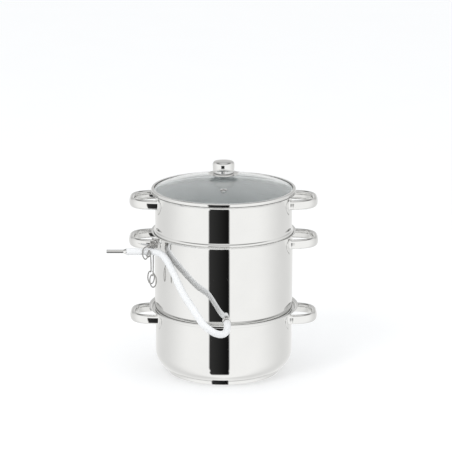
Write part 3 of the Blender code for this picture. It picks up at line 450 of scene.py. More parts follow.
def dress(mesh, node, body, looks=(POLISHED,), name=None):
    """Closes, smooths and dresses a mesh, and puts it on its body in place of its node."""
    shape = bmesh.new()
    shape.from_mesh(mesh)
    bmesh.ops.remove_doubles(shape, verts=shape.verts, dist=TOUCHING)
    bmesh.ops.recalc_face_normals(shape, faces=shape.faces)
    taken(shape, mesh)
    mesh.shade_smooth()
    mesh.set_sharp_from_angle(angle=radians(SHARP_ANGLE))
    for look in looks:
        mesh.materials.append(look)
    obj = put_in(name or node.removesuffix("_body") + "_shown", mesh)
    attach(obj, body)
    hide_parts(node)
    return obj


def turned(outline, segments=SEGMENTS, lift=0.0, inner=0, matrix=Matrix()):
    """A mesh turned round the matrix's Z. Edges before the inner count take the inside's look."""
    verts, loops = [], []
    for r, z in outline:
        if r <= 0:
            loops.append([len(verts)] * segments)
            verts.append((0.0, 0.0, z + lift))
            continue
        loops.append(range(len(verts), len(verts) + segments))
        for k in range(segments):
            turn = tau * k / segments
            verts.append((r * cos(turn), r * sin(turn), z + lift))
    pairs = list(pairwise(loops))
    if outline[0][0] > 0 or outline[-1][0] > 0:
        pairs.append((loops[-1], loops[0]))
    faces, marks = [], []
    for i, (low, high) in enumerate(pairs):
        strip = between(low, high)
        faces += strip
        marks += [INSIDE if i < inner else OUTSIDE] * len(strip)
    mesh = new_mesh(verts, faces, marks)
    mesh.transform(matrix)
    return mesh


def drilled(mesh, matrices, radius, depth, sides):
    """The mesh with a round hole through it at each matrix, along the matrix's Z."""
    shape = bmesh.new()
    for matrix in matrices:
        bmesh.ops.create_cone(
            shape, cap_ends=True, segments=sides, radius1=radius, radius2=radius, depth=depth, matrix=matrix
        )
    drill, work = put_in("drill", taken(shape)), put_in("work", mesh)
    cut = work.modifiers.new("cut", "BOOLEAN")
    cut.operation = "DIFFERENCE"
    cut.solver = "EXACT"
    cut.object = drill
    bpy.context.view_layer.update()
    made = bpy.data.meshes.new_from_object(work.evaluated_get(bpy.context.evaluated_depsgraph_get()))
    for obj in (drill, work):
        bpy.data.objects.remove(obj)
    return made


def smooth(route, step):
    """Points about a step apart on a smooth curve through a route, ends included."""
    stops = [Vector(p) for p in route]
    stops = [2 * stops[0] - stops[1], *stops, 2 * stops[-1] - stops[-2]]
    points = []
    for a, b, c, d in zip(stops, stops[1:], stops[2:], stops[3:]):
        count = max(1, round((c - b).length / step))
        square, cube = 2 * a - 5 * b + 4 * c - d, 3 * b - a - 3 * c + d
        for t in [i / count for i in range(count)]:
            points.append(0.5 * (2 * b + (c - a) * t + square * t**2 + cube * t**3))
    return [*points, stops[-2]]


def tube(points, radius, sides, bore=0.0):
    """A wire with round ends, or a hose with an open bore, along the points. Its sides don't twist."""
    last = len(points) - 1
    ahead = [(points[min(i + 1, last)] - points[max(i - 1, 0)]).normalized() for i in range(last + 1)]
    across = [ahead[0].orthogonal().normalized()]
    for before, now in pairwise(ahead):
        side = before.rotation_difference(now) @ across[-1]
        across.append((side - now * side.dot(now)).normalized())
    rings = [(i, radius, 0.0) for i in range(last + 1)]  # the point, the reach from it and the shift ahead
    if bore:
        edge = (radius - bore) / 4
        rings = [(0, radius - edge, 0.0), (0, radius, edge), *rings[1:-1]]
        rings += [(last, radius, -edge), (last, radius - edge, 0.0)]
        rings += [(i, bore, 0.0) for i in range(last, -1, -1)]
    else:
        bends = [(radius * cos(a), radius * sin(a)) for a in (pi / 8 * k for k in range(1, 5))]
        rings = [(0, reach, -shift) for reach, shift in bends[::-1]] + rings
        rings += [(last, reach, shift) for reach, shift in bends]
    rows = []
    for i, reach, shift in rings:
        side, up = across[i], ahead[i].cross(across[i])
        centre = points[i] + ahead[i] * shift
        turns = [tau * k / sides for k in range(sides)]
        rows.append([centre + (side * cos(turn) + up * sin(turn)) * reach for turn in turns])
    return lofted(rows, closed=bool(bore))


# ---- handles

def handle(vessel, word, side, radius, height):
    """A loop handle: an oval tube bowed out from the wall, flared into a small weld at each plate."""
    start = radius * HANDLE_ROOT_SHARE
    reach = radius + HANDLE_REACH - HANDLE_THICKNESS / 2 - start
    seat = radius + CLEARANCE + PLATE_THICKNESS / 2
    leg_start = sqrt(seat**2 - HANDLE_SPAN**2)
    line = []
    for i in range(HANDLE_STEPS + 1):
        x, y = bowed(pi * (i / HANDLE_STEPS - 0.5), HANDLE_SQUARENESS)
        line.append(Vector((start + reach * x, HANDLE_SPAN * y)))
    section = [bowed(tau * k / HANDLE_SIDES, HANDLE_SECTION) for k in range(HANDLE_SIDES)]

    def weld(leg, out, extra):
        rows = []
        for thick, deep in section:
            y = leg * (HANDLE_SPAN + (HANDLE_THICKNESS / 2 + extra) * thick)
            x = sqrt(seat**2 - y**2) + out
            rows.append((side * x, side * y, height + (HANDLE_DEPTH / 2 + extra) * deep))
        return rows

    rows = [weld(-1, *flare) for flare in HANDLE_FLARE]
    for before, place, after in zip([line[0], *line], line, [*line[1:], line[-1]]):
        if place.x <= leg_start + HANDLE_WELD:
            continue
        out = Vector((after.y - before.y, before.x - after.x)).normalized() * HANDLE_THICKNESS / 2
        spots = [(place + out * thick, height + HANDLE_DEPTH / 2 * deep) for thick, deep in section]
        rows.append([(side * spot.x, side * spot.y, z) for spot, z in spots])
    rows += [weld(1, *flare) for flare in HANDLE_FLARE[::-1]]
    dress(lofted(rows, capped=True), f"{vessel}_handle_{word}", vessel)


def leaf_width(down):
    """The plate's half width at a share of the way down, on a smooth curve through its shares."""
    i = bisect.bisect_left([share for share, _ in LEAF[1:]], down)
    before, (d0, w0), (d1, w1), after = (LEAF[0], *LEAF, LEAF[-1])[i : i + 4]
    t = (down - d0) / (d1 - d0)
    rise = (w1 - before[1]) / (d1 - before[0]) * (d1 - d0)
    fall = (after[1] - w0) / (after[0] - d0) * (d1 - d0)
    share = 2 * t**3 - 3 * t**2 + 1
    return share * w0 + (t**3 - 2 * t**2 + t) * rise + (1 - share) * w1 + (t**3 - t**2) * fall


def plate(vessel, word, side, place, front, radius, height):
    """A leaf-shaped weld plate, bent to the wall and softly rounded at its edge."""
    columns, rows = PLATE_COLUMNS, PLATE_ROWS
    inner = radius + CLEARANCE / 3
    thick = PLATE_THICKNESS + CLEARANCE * 2 / 3
    middle = asin(HANDLE_SPAN / (radius + CLEARANCE))
    verts, grids = [], []
    for outside in (0, 1):
        grid = []
        for j in range(rows + 1):
            down = (1 - cos(pi * j / rows)) / 2
            width = PLATE_WIDTH * min(leaf_width(down), 1.0)
            z = height + PLATE_RISE - (PLATE_RISE + PLATE_FALL) * down
            grid.append(range(len(verts), len(verts) + columns + 1))
            for i in range(columns + 1):
                across = sin(pi * (i / columns - 0.5))
                edge = max(abs(across), abs(2 * down - 1) ** 3)
                angle = middle + width * across / (radius + CLEARANCE)
                rise = PLATE_EDGE + (1 - PLATE_EDGE) * sqrt(max(0.0, 1 - edge**8))
                reach = inner + thick * rise * outside
                verts.append((side * reach * cos(angle), -front * reach * sin(angle), z))
        grids.append(grid)
    faces = []
    for grid in grids:
        for low, high in pairwise(grid):
            faces += [(low[i], low[i + 1], high[i + 1], high[i]) for i in range(columns)]
    border = [(0, i) for i in range(columns)] + [(j, columns) for j in range(rows)]
    border += [(rows, i) for i in range(columns, 0, -1)] + [(j, 0) for j in range(rows, 0, -1)]
    faces += between(*([grid[j][i] for j, i in border] for grid in grids))
    dress(new_mesh(verts, faces), f"{vessel}_handle_plate_{word}_{place}", vessel)


def handles(vessel, radius, height):
    for side, word in ((-1, "left"), (1, "right")):
        handle(vessel, word, side, radius, height)
        for front, place in ((1, "front"), (-1, "rear")):
            plate(vessel, word, side, place, front, radius, height)


# ---- vessels

def water_pan():
    corner = PAN_CORNER - PAN_WALL
    path = [(0.0, PAN_FLOOR + PAN_WALL)]
    path += arc((PAN_INSIDE - corner, PAN_FLOOR + PAN_CORNER), corner, -90, 0, 24)
    # Edges before this count take the brushed inside look, which is partly painted light
    satin_and_lightened = len(path)
    path += arc((PAN_INSIDE + PAN_LEDGE_BEND, PAN_LEDGE - PAN_LEDGE_BEND), PAN_LEDGE_BEND, 180, 90, 8)
    path += arc((PAN_COLLAR - PAN_COLLAR_BEND, PAN_LEDGE + PAN_COLLAR_BEND), PAN_COLLAR_BEND, -90, 0, 6)
    path += arc((PAN_COLLAR + PAN_LIP_BEND, PAN_HEIGHT - PAN_LIP_BEND), PAN_LIP_BEND, 180, 90, 12)[1:]
    path.append((PAN_LIP - PAN_WALL / 2, PAN_HEIGHT))
    mesh = turned(walled(path, PAN_WALL), inner=satin_and_lightened)
    dress(mesh, "water_pan_body", "water_pan", (POLISHED, BRUSHED_PAINTED_LIGHT))

    fit = PAN_CORNER + CLEARANCE
    centre = PAN_FLOOR + PAN_CORNER
    outline = [(0.0, CAP_WALL), (BASE_RADIUS - CAP_WALL, CAP_WALL)]
    for r in (BASE_RADIUS - CAP_WALL, BASE_RADIUS):
        outline.append((r, centre - sqrt(fit**2 - (r - PAN_RADIUS + PAN_CORNER) ** 2)))
    outline += arc((BASE_RADIUS - CAP_EDGE, CAP_EDGE), CAP_EDGE, 0, -90, 6)
    outline.append((0.0, 0.0))
    dress(turned(outline), "water_pan_base_cap", "water_pan", name="base_cap_shown")
    handles("water_pan", PAN_RADIUS, PAN_HEIGHT - PAN_HANDLE_DROP)


def juice_pot():
    corner = POT_CORNER - POT_WALL
    path = [(STEAM_OPENING, POT_WALL)]
    path += arc((POT_INSIDE - corner, POT_CORNER), corner, -90, 0, 16)
    path += [(POT_INSIDE, SPOUT_HEIGHT + ABOVE_SPOUT), (POT_INSIDE, POT_HEIGHT - POT_LIP_BEND - BELOW_LIP)]
    # Edges before this count take the brushed inside look, which is partly painted light
    satin_and_lightened = len(path)
    path += arc((POT_INSIDE + POT_LIP_BEND, POT_HEIGHT - POT_LIP_BEND), POT_LIP_BEND, 180, 90, 12)
    path.append((POT_LIP - POT_WALL / 2, POT_HEIGHT))
    mesh = turned(walled(path, POT_WALL), lift=POT_BASE, inner=satin_and_lightened)
    hole = SPOUT_AROUND @ Matrix.Translation((0.0, -POT_RADIUS, POT_BASE + SPOUT_HEIGHT))
    hole = hole @ Matrix.Rotation(pi / 2, 4, "X")
    mesh = drilled(mesh, [hole], SPOUT_RADIUS + CLEARANCE, POT_CORNER, SPOUT_DRILL_SIDES)
    dress(mesh, "juice_pot_body", "juice_pot", (POLISHED, BRUSHED_PAINTED_LIGHT))
    handles("juice_pot", POT_RADIUS, POT_BASE + POT_HEIGHT - POT_HANDLE_DROP)


def steam_cone():
    low = POT_WALL + CLEARANCE
    crown = low + CONE_HEIGHT
    foot = Vector((STEAM_OPENING - CONE_FOOT_BEND, low + CONE_FOOT_BEND))
    head = Vector((CONE_TOP, crown - CONE_CROWN_BEND))
    slope = (head.x - foot.x) / (head.y - foot.y)
    corners = [(STEAM_OPENING + CONE_FOOT, low, 0.0), (foot.x - slope * CONE_FOOT_BEND, low, CONE_BEND)]
    corners += [(head.x + slope * CONE_CROWN_BEND, crown, CONE_CROWN_BEND), (0.0, crown, 0.0)]
    path = rounded(corners, 12)
    inner = pushed_out(path, CONE_WALL)
    inner[-1] = (0.0, inner[-1][1])
    height = crown - CONE_HOLE_DROP
    place = Matrix.Translation((foot.x + slope * (height - foot.y), 0.0, POT_BASE + height))
    place = place @ Matrix.Rotation(atan2(1.0, -slope), 4, "Y")
    turns = [tau * (i + 0.5) / CONE_HOLES for i in range(CONE_HOLES)]
    spots = [Matrix.Rotation(turn, 4, "Z") @ place for turn in turns]
    mesh = turned(inner[::-1] + path, CONE_SEGMENTS, POT_BASE)
    mesh = drilled(mesh, spots, CONE_HOLE, CONE_DRILL, DRILL_SIDES)
    dress(mesh, "steam_cone", "juice_pot", (SATIN,))


def spout():
    lying = SPOUT_AROUND @ Matrix.Translation((0.0, 0.0, POT_BASE + SPOUT_HEIGHT))
    lying = lying @ Matrix.Rotation(pi / 2, 4, "X")
    bore = SPOUT_RADIUS - SPOUT_WALL
    edge = SPOUT_WALL / 3
    low, far = POT_INSIDE - SPOUT_INSET, POT_RADIUS + SPOUT_REACH
    corners = [(bore, low, edge), (bore, far, edge), (SPOUT_RADIUS, far, edge), (SPOUT_RADIUS, low, edge)]
    dress(turned(rounded(corners, 3, True), SPOUT_SEGMENTS, matrix=lying), "juice_spout", "juice_pot")

    near = POT_RADIUS + CLEARANCE / 3
    hole = SPOUT_RADIUS + CLEARANCE / 3
    end = POT_RADIUS + CLEARANCE + COLLAR_LENGTH
    corners = [(hole, near, 0), (hole, end, 0.0003)]
    corners += [(COLLAR_RADIUS - COLLAR_LEAN, end, 0.0013), (COLLAR_RADIUS, near, 0)]
    dress(turned(rounded(corners, 6, True), SMALL_SEGMENTS, matrix=lying), "spout_collar", "juice_pot")


def hose_route():
    tip = POT_RADIUS + SPOUT_REACH
    route = [SPOUT_AROUND @ Vector((0.0, -reach, SPOUT_HEIGHT)) for reach in (tip - HOSE_SLEEVE, tip)]
    route += [Vector(p) for p in HOSE_ROUTE]
    straight = HOSE_END - HOSE_SLEEVE
    near_clamp = CLAMP_PLACE + HOSE_RADIUS
    for place in (near_clamp, (near_clamp + straight) / 2, straight, HOSE_END):
        route.append(Vector((-place, -CLAMP_FRONT, CLAMP_HEIGHT - HOSE_DROP)))
    return [p + Vector((0.0, 0.0, POT_BASE)) for p in route]


def hose():
    tip = HOSE_END + NOZZLE_LENGTH
    bore = NOZZLE_RADIUS - NOZZLE_WALL
    inside = HOSE_END - HOSE_SLEEVE + NOZZLE_WALL
    shoulder = HOSE_END + CLEARANCE
    corners = [
        (bore, inside, 0.0002), (bore, tip, 0.0003), (NOZZLE_RADIUS, tip, 0.0003),
        (NOZZLE_RADIUS, shoulder + NOZZLE_FLARE_LENGTH, 0.004),
        (NOZZLE_FLARE, shoulder + NOZZLE_LIP, 0.0012), (NOZZLE_FLARE, shoulder, 0.0003),
        (SPOUT_RADIUS, shoulder, 0.0), (SPOUT_RADIUS, inside, 0.0002),
    ]
    lying = Matrix.Translation((0.0, -CLAMP_FRONT, POT_BASE + CLAMP_HEIGHT - HOSE_DROP))
    lying = lying @ Matrix.Rotation(-pi / 2, 4, "Y")
    mesh = turned(rounded(corners, 5, True), SMALL_SEGMENTS, matrix=lying)
    nozzle = dress(mesh, "hose_nozzle", "juice_pot")

    front = CAD_BOX[0][1] + HOSE_RADIUS  # the smoothed bow stays inside the solids' box
    points = [Vector((p.x, max(p.y, front), p.z)) for p in smooth(hose_route(), HOSE_STEP)]
    mesh = tube(points, HOSE_RADIUS, HOSE_SIDES, HOSE_BORE)
    pipe = dress(mesh, "juice_hose", "juice_pot", (SILICONE,))


# ---- clamp

def coil(first, turns):
    """Points along the coil, from its right end to its left."""
    points = []
    for i in range(round(turns * COIL_POINTS) + 1):
        share = i / COIL_POINTS
        angle = tau * (share + 0.25)
        points.append((first - COIL_PITCH * share, COIL_RADIUS * cos(angle), COIL_RADIUS * sin(angle)))
    return points


def jaw(stem, shares, offsets):
    return [(stem - JAW_WIDTH * w, y, -JAW_FALL * f) for (w, f), y in zip(shares, offsets)]


def jaw_and_pad(stem, side):
    points = jaw(stem, JAW, [side * JAW_OFFSET] * len(JAW))
    for i in range(PAD_POINTS + 1):
        angle = pi / 2 + radians(PAD_SWEEP) * i / PAD_POINTS
        down = PAD_HEIGHT * (sin(angle) - 1)
        points.append((stem + PAD_WIDTH * cos(angle), -side * PAD_SPREAD, down - STEM_FALL))
    return points


def front_wire():
    turns = coil(-COIL_PITCH / 2, FRONT_TURNS)
    stem = turns[-1][0]
    lead = jaw(stem, FRONT_LEAD, (-(COIL_RADIUS + JAW_OFFSET) / 2, -JAW_OFFSET))
    return turns + lead + jaw_and_pad(stem, -1)


def rear_wire():
    """The clamp's other half, which starts with a hook over the front leg of the pot's left handle."""
    leg = CLAMP_FRONT - HANDLE_SPAN
    leg_height = CLAMP_DROP - POT_HANDLE_DROP
    over = leg_height + HANDLE_DEPTH / 2 + CLEARANCE + WIRE_RADIUS
    behind = leg + HANDLE_THICKNESS / 2 + 2 * WIRE_RADIUS
    corner = HANDLE_THICKNESS / 2 - WIRE_RADIUS
    first = COIL_PITCH * (REAR_TURNS + 0.5)
    hook = [
        (HOOK_PLACE, behind, leg_height), (HOOK_PLACE, behind, over - corner - WIRE_RADIUS),
        (HOOK_PLACE, behind - WIRE_RADIUS, over - WIRE_RADIUS), (HOOK_PLACE, leg, over),
        (first, (leg + COIL_RADIUS) / 2, (over + COIL_RADIUS) / 2),
    ]
    stem = -COIL_PITCH * (FRONT_TURNS + 0.5) + STEM_SHIFT
    lead = jaw(stem, REAR_LEAD, [JAW_OFFSET * share for share in REAR_SPREAD])
    return hook + coil(first, REAR_TURNS) + lead + jaw_and_pad(stem, 1)


def clamp():
    for node, route, body in (
        ("clamp_front_wire", front_wire(), "clamp_front"),
        ("clamp_rear_wire", rear_wire(), "juice_pot"),
    ):
        points = [p + CLAMP_PIVOT for p in smooth(route, WIRE_STEP)]
        dress(tube(points, WIRE_RADIUS, WIRE_SIDES), node, body, (SPRING,))


# ---- basket

def eased(path, places):
    """The path, with points near each place moved a little towards their neighbours, as sheet bends."""
    points = [Vector(p) for p in path]
    near = [any((p - Vector(q)).length < BEAD_EASING for q in places) for p in points]
    for _ in range(EASING_ROUNDS):
        moved = list(points)
        for i in range(1, len(points) - 1):
            if near[i]:
                moved[i] = (points[i - 1] + 2 * points[i] + points[i + 1]) / 4
        points = moved
    return [tuple(p) for p in points]


def resampled(path, step):
    points = [path[0]]
    for a, b in pairwise(path):
        count = max(1, ceil(dist(a, b) / step))
        points += [mixed(a, b, i / count) for i in range(1, count + 1)]
    return points


class Shell:
    """The basket's sheet: points by way along its profile, turn in segments, and depth through the wall."""

    def __init__(self, path, lift):
        self.path, self.lift = path, lift
        self.outer = pushed_out(path, 1.0)
        self.ways = [0.0, *accumulate(dist(*ends) for ends in pairwise(path))]
        self.verts, self.normals, self.known = [], [], {}
        self.faces, self.marks = [], []

    def profile(self, way, depth):
        """A point's radius and height, with the profile's start on the axis."""
        i = max(0, min(bisect.bisect_right(self.ways, way + AT_START) - 1, len(self.ways) - 2))
        share = min(1.0, max(0.0, (way - self.ways[i]) / (self.ways[i + 1] - self.ways[i])))
        near, far = (mixed(line[i], line[i + 1], share) for line in (self.path, self.outer))
        r, z = mixed(near, far, depth)
        return (r if way > AT_START else 0.0), z

    def facing(self, way, depth):
        """Which way a point of either face looks, in the profile's plane, and nothing for other points."""
        if depth not in (0.0, BASKET_WALL) or way > self.ways[-1] - TOUCHING:
            return (0.0, 0.0)
        near, far = Vector(self.profile(way, 0.0)), Vector(self.profile(way, 1.0))
        return (far - near).normalized() * (1 if depth else -1)

    def add(self, spot, turn, facing=(0.0, 0.0)):
        angle = tau * turn / SEGMENTS
        c, s = cos(angle), sin(angle)
        self.verts.append((spot[0] * c, spot[0] * s, spot[1] + self.lift))
        self.normals.append((facing[0] * c, facing[0] * s, facing[1]))
        return len(self.verts) - 1

    def at(self, way, turn, depth):
        """The index of a point, which is made when first asked for."""
        turn %= SEGMENTS
        turn_key = round(turn * TURN_KEYS) % (SEGMENTS * TURN_KEYS) if way > AT_START else 0
        key = (round(way * LENGTH_KEYS), turn_key, round(depth * LENGTH_KEYS))
        if key not in self.known:
            self.known[key] = self.add(self.profile(way, depth), turn, self.facing(way, depth))
        return self.known[key]

    def loop(self, spots, depth):
        return [self.at(way, turn, depth) for way, turn in spots]

    def row(self, way, depth):
        return self.loop([(way, turn) for turn in range(SEGMENTS)], depth)

    def skin(self, loops, mark):
        for one, two in pairwise(loops):
            faces = between(one, two)
            self.faces += faces
            self.marks += [mark] * len(faces)

    def cell(self, low, middle, high, turn, width, steps):
        """One square of sheet with a round hole punched through it."""
        first = turn - width / 2
        corners = ((low, first), (low, first + width), (high, first + width), (high, first), (low, first))
        sides = zip(pairwise(corners), (width, steps) * 2)
        border = [mixed(*ends, i / count) for ends, count in sides for i in range(count)]
        unit = tau * self.profile(middle, 0.0)[0] / SEGMENTS
        angles = [atan2(way - middle, (place - turn) * unit) for way, place in border]
        wide, tight = (
            [(middle + reach * sin(a), turn + reach * cos(a) / unit) for a in angles]
            for reach in (HOLE_RADIUS + HOLE_BEVEL, HOLE_RADIUS - HOLE_BEVEL)
        )
        apron = [mixed(a, b, HOLE_APRON) for a, b in zip(wide, border)]
        for depth, mark in ((0.0, INSIDE), (BASKET_WALL, OUTSIDE)):
            self.skin([self.loop(spots, depth) for spots in (wide, apron, border)], mark)
        # The hole's walls and bevels take the painted shade: near-black steel in place of the shade inside
        # the hole
        walls = ((wide, 0.0), (tight, HOLE_EDGE), (tight, BASKET_WALL - HOLE_EDGE), (wide, BASKET_WALL))
        self.skin([self.loop(spots, depth) for spots, depth in walls], EDGE)

    def cells(self, low, middle, high, count, steps):
        width = SEGMENTS // count
        for i in range(count):
            self.cell(low, middle, high, (i + 0.5) * width, width, steps)

    def way_at(self, height):
        """How far along the profile it passes a height on its way up the side."""
        for (way, on), ((_, low), (_, high)) in zip(pairwise(self.ways), pairwise(self.path)):
            if way >= BASKET_FLAT and low <= height <= high:
                return way + (on - way) * (height - low) / (high - low)
        raise ValueError("no such height")


def basket_path():
    inside = BASKET_RADIUS - BASKET_WALL
    bulge = BEAD_RADIUS - BASKET_WALL
    low, high = (degrees(acos((r - BEAD_CENTRE) / bulge)) for r in (TUCK - BASKET_WALL, inside))
    bead = arc((BEAD_CENTRE, BEAD_HEIGHT), bulge, -low, high, 24)
    path = [(0.0, BASKET_WALL)]
    path += arc((BASKET_FLAT, BASKET_CORNER), BASKET_CORNER - BASKET_WALL, -90, 0, 60) + bead
    path += arc((inside + BASKET_LIP_BEND, BASKET_HEIGHT - BASKET_LIP_BEND), BASKET_LIP_BEND, 180, 90, 14)
    path.append((BASKET_LIP - BASKET_WALL / 2, BASKET_HEIGHT))
    return eased(resampled(path, SHEET_STEP), (bead[0], bead[-1]))


def fruit_basket():
    shell = Shell(basket_path(), BASKET_BASE)
    rows = [shell.way_at(BEAD_HEIGHT - FIRST_ROW_DROP - HOLE_ROW_PITCH * i) for i in range(HOLE_ROWS)][::-1]
    half = HOLE_ROW_PITCH / 2
    edges = [rows[0] - half, *((a + b) / 2 for a, b in pairwise(rows)), rows[-1] + half]
    stops = [FLOOR_PITCH * (i + 0.5) for i in range(FLOOR_RINGS + 1)]
    below = [way for way in shell.ways if stops[-1] + LEAST_STEP < way < edges[0] - LEAST_STEP]
    above = [way for way in shell.ways if way > edges[-1] + LEAST_STEP]
    lip = shell.way_at(BASKET_HEIGHT - BASKET_LIP_BEND)
    for depth, mark in ((0.0, INSIDE), (BASKET_WALL, OUTSIDE)):
        for line in ([0.0, stops[0]], [stops[-1], *below, edges[0]], [edges[-1], *above]):
            for low, high in pairwise(line):
                shell.skin([shell.row(low, depth), shell.row(high, depth)], mark if low < lip else OUTSIDE)
    for i, (low, high) in enumerate(pairwise(stops), 1):
        shell.cells(low, FLOOR_PITCH * i, high, FLOOR_HOLES * i, FLOOR_HOLE_STEPS)
    for low, middle, high in zip(edges, rows, edges[1:]):
        shell.cells(low, middle, high, HOLE_COLUMNS, HOLE_STEPS)

    end = shell.ways[-1]
    bends = round_end(shell.profile(end, 0.0), shell.profile(end, BASKET_WALL), shell.path[-2])
    rim = [[shell.add(spot, turn) for turn in range(SEGMENTS)] for spot in bends]
    shell.skin([shell.row(end, 0.0), *rim, shell.row(end, BASKET_WALL)], OUTSIDE)
    mesh = new_mesh(shell.verts, shell.faces, shell.marks)
    dress(mesh, "fruit_basket_body", "fruit_basket", (POLISHED, BRUSHED_PAINTED_LIGHT, HOLE_SHADE))
    mesh.normals_split_custom_set_from_vertices(shell.normals)
    handles("fruit_basket", BASKET_RADIUS, BASKET_BASE + BASKET_HEIGHT - BASKET_HANDLE_DROP)


# ---- lid and knob

def dome(radius, drop=0.0):
    """How high the glass's top is at a radius, or what lies a drop below it."""
    return GLASS_TOP + DOME_RISE - SPHERE + sqrt((SPHERE - drop) ** 2 - radius**2)


def lid():
    corners = [
        (LID_LIP, LID_BAND, 0.0), (LID_RADIUS, LID_BAND, 0.0020), (LID_RADIUS, 0.0, 0.0015),
        (LID_SKIRT, 0.0, 0.0008), (LID_SKIRT, -LID_SKIRT_DROP, 0.0),
    ]
    outline = walled(rounded(corners, 8), LID_SHEET)
    outline += round_end(outline[-1], outline[0], outline[-2])
    outline = [(r, max(z, -LID_SKIRT_DROP)) for r, z in outline]
    dress(turned(outline, lift=LID_SEAT), "lid_band", "lid")

    edge = LID_RADIUS - LID_SHEET - LID_EDGE / 2 - CLEARANCE
    rings = [GLASS_SEAT + (DOME_RADIUS - GLASS_SEAT) * i / DOME_RINGS for i in range(DOME_RINGS + 1)]
    outline = [(DOME_RADIUS, GLASS_LOW)]
    outline += [(r, dome(r, GLASS)) for r in rings[-2::-1]]
    outline += [(SCREW_HOLE, dome(GLASS_SEAT, drop)) for drop in (GLASS, 0.0)]
    outline += [(r, dome(r)) for r in rings]
    outline += [(edge, GLASS_TOP), (edge, GLASS_LOW)]
    spot = Matrix.Translation((0.0, -VENT_PLACE, LID_SEAT + dome(VENT_PLACE, GLASS / 2)))
    spot = spot @ Matrix.Rotation(asin(VENT_PLACE / SPHERE), 4, "X")
    mesh = drilled(turned(outline, lift=LID_SEAT), [spot], VENT_HOLE, GLASS * 3, DRILL_SIDES)
    dress(mesh, "lid_glass", "lid", (GLASS_LOOK,))

    half = GLASS / 2 + CLEARANCE / 3
    far = GLASS / 2 + CLEARANCE + VENT_FLANGE_THICKNESS
    neck = VENT_HOLE - CLEARANCE
    corners = [
        (VENT_BORE, -far, 0.0003), (VENT_BORE, far, 0.0008), (neck, far, 0.0012),
        (VENT_FLANGE, half + VENT_EDGE, 0.0004), (VENT_FLANGE, half, 0.0002),
        (neck, half, 0.0), (neck, -far, 0.0004),
    ]
    mesh = turned(rounded(corners, 5, True), SMALL_SEGMENTS, matrix=spot)
    dress(mesh, "lid_vent_eyelet", "lid", name="lid_vent_shown")


def knob():
    face = dome(GLASS_SEAT) + 2 * CLEARANCE + GASKET_THICKNESS + FLANGE_THICKNESS
    corners = [
        (SCREW_HOLE, face, 0.0), (FLANGE_SEAT, face, 0.008),
        ((FLANGE_SEAT + FLANGE_RADIUS) / 2, face + FLANGE_DISH / 3, 0.012),
        (FLANGE_RADIUS - FLANGE_THICKNESS / 2, face + FLANGE_DISH, 0.0),
    ]
    outline = walled(rounded(corners, 8), FLANGE_THICKNESS, 8)
    dress(turned(outline, KNOB_SEGMENTS, LID_SEAT), "knob_flange", "lid")

    low = face + CLEARANCE
    foot = low + KNOB_FOOT
    shoulder = low + KNOB_HEIGHT - KNOB_RISE - KNOB_BEND
    outline = [(0.0, low + SCREW_GRIP), (SCREW_HOLE, low + SCREW_GRIP), (SCREW_HOLE, low)]
    outline += arc((KNOB_NECK - KNOB_EDGE, low + KNOB_EDGE), KNOB_EDGE, -90, 0, 3)
    for share in [i / KNOB_STEPS for i in range(KNOB_STEPS)]:
        swell = (KNOB_RADIUS - KNOB_NECK) * share**KNOB_SWELL
        outline.append((KNOB_NECK + swell, foot + (shoulder - foot) * share))
    turn = 90 - 2 * degrees(atan(KNOB_RISE / (KNOB_RADIUS - KNOB_BEND)))
    crown = arc((KNOB_RADIUS - KNOB_BEND, shoulder), KNOB_BEND, 0, turn, 14)
    cap = crown[-1][0] / cos(radians(turn))
    centre = crown[-1][1] - cap * sin(radians(turn))
    outline += crown + arc((0.0, centre), cap, turn, 90, 14)[1:-1]
    outline.append((0.0, centre + cap))
    dress(turned(outline[::-1], KNOB_SEGMENTS, LID_SEAT), "knob_cap", "lid")


def carried_over():
    """What is hidden, or nearly so, keeps its own shape and gets the scene's materials."""
    looks = (ALUMINIUM, SILICONE, SATIN, SATIN)
    for name, look in zip(("water_pan_base_core", "knob_gasket", "knob_washer", "knob_screw"), looks):
        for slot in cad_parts[name].material_slots:
            slot.material = look


# ---- stage and light

FLOOR_REACH, FLOOR_DROP, FLOOR_GLOW = 9.0, 0.0002, 0.215
LAMP_AIM = Vector((0.0, 0.0, 0.2))

# The room in polished metal, as ranges: from, to, and what is given at each end. They run over the
# direction's azimuth, in radians from the camera's side, or over its height.
GAP_LEFT, GAP_RIGHT, GAP_BLUR = (-0.94, -0.60, -0.610, -0.428), (-0.94, -0.60, 0.245, 0.170), 0.028
GAP_FOOT, GAP_HEAD = (-0.94, -0.86, 1.0, 0.0), (0.10, 0.22, 0.0, 1.0)
GAP_TONES, RING_HEIGHT, RING_TONES = (-0.42, 0.10, 0.035, 0.008), 0.80, (0.05, 0.16, 0.32, 1.0)
SIDE_TONES, REAR_LIFT = (0.9, 2.1, 1.0, 0.77), (2.2, 3.1, 0.0, 0.12)
DUSK_SHARE, DUSK_DEPTH = (1.9, 2.6, 0.0, 1.0), (0.03, 0.24, 0.0, 0.30)
METAL_TINT = (1.0, 0.998, 0.984, 1.0)
LIGHT_TINT, LIGHT_LEVEL = (0.97, 0.985, 1.0, 1.0), 0.88
WHITE = (1.0, 1.0, 1.0, 1.0)


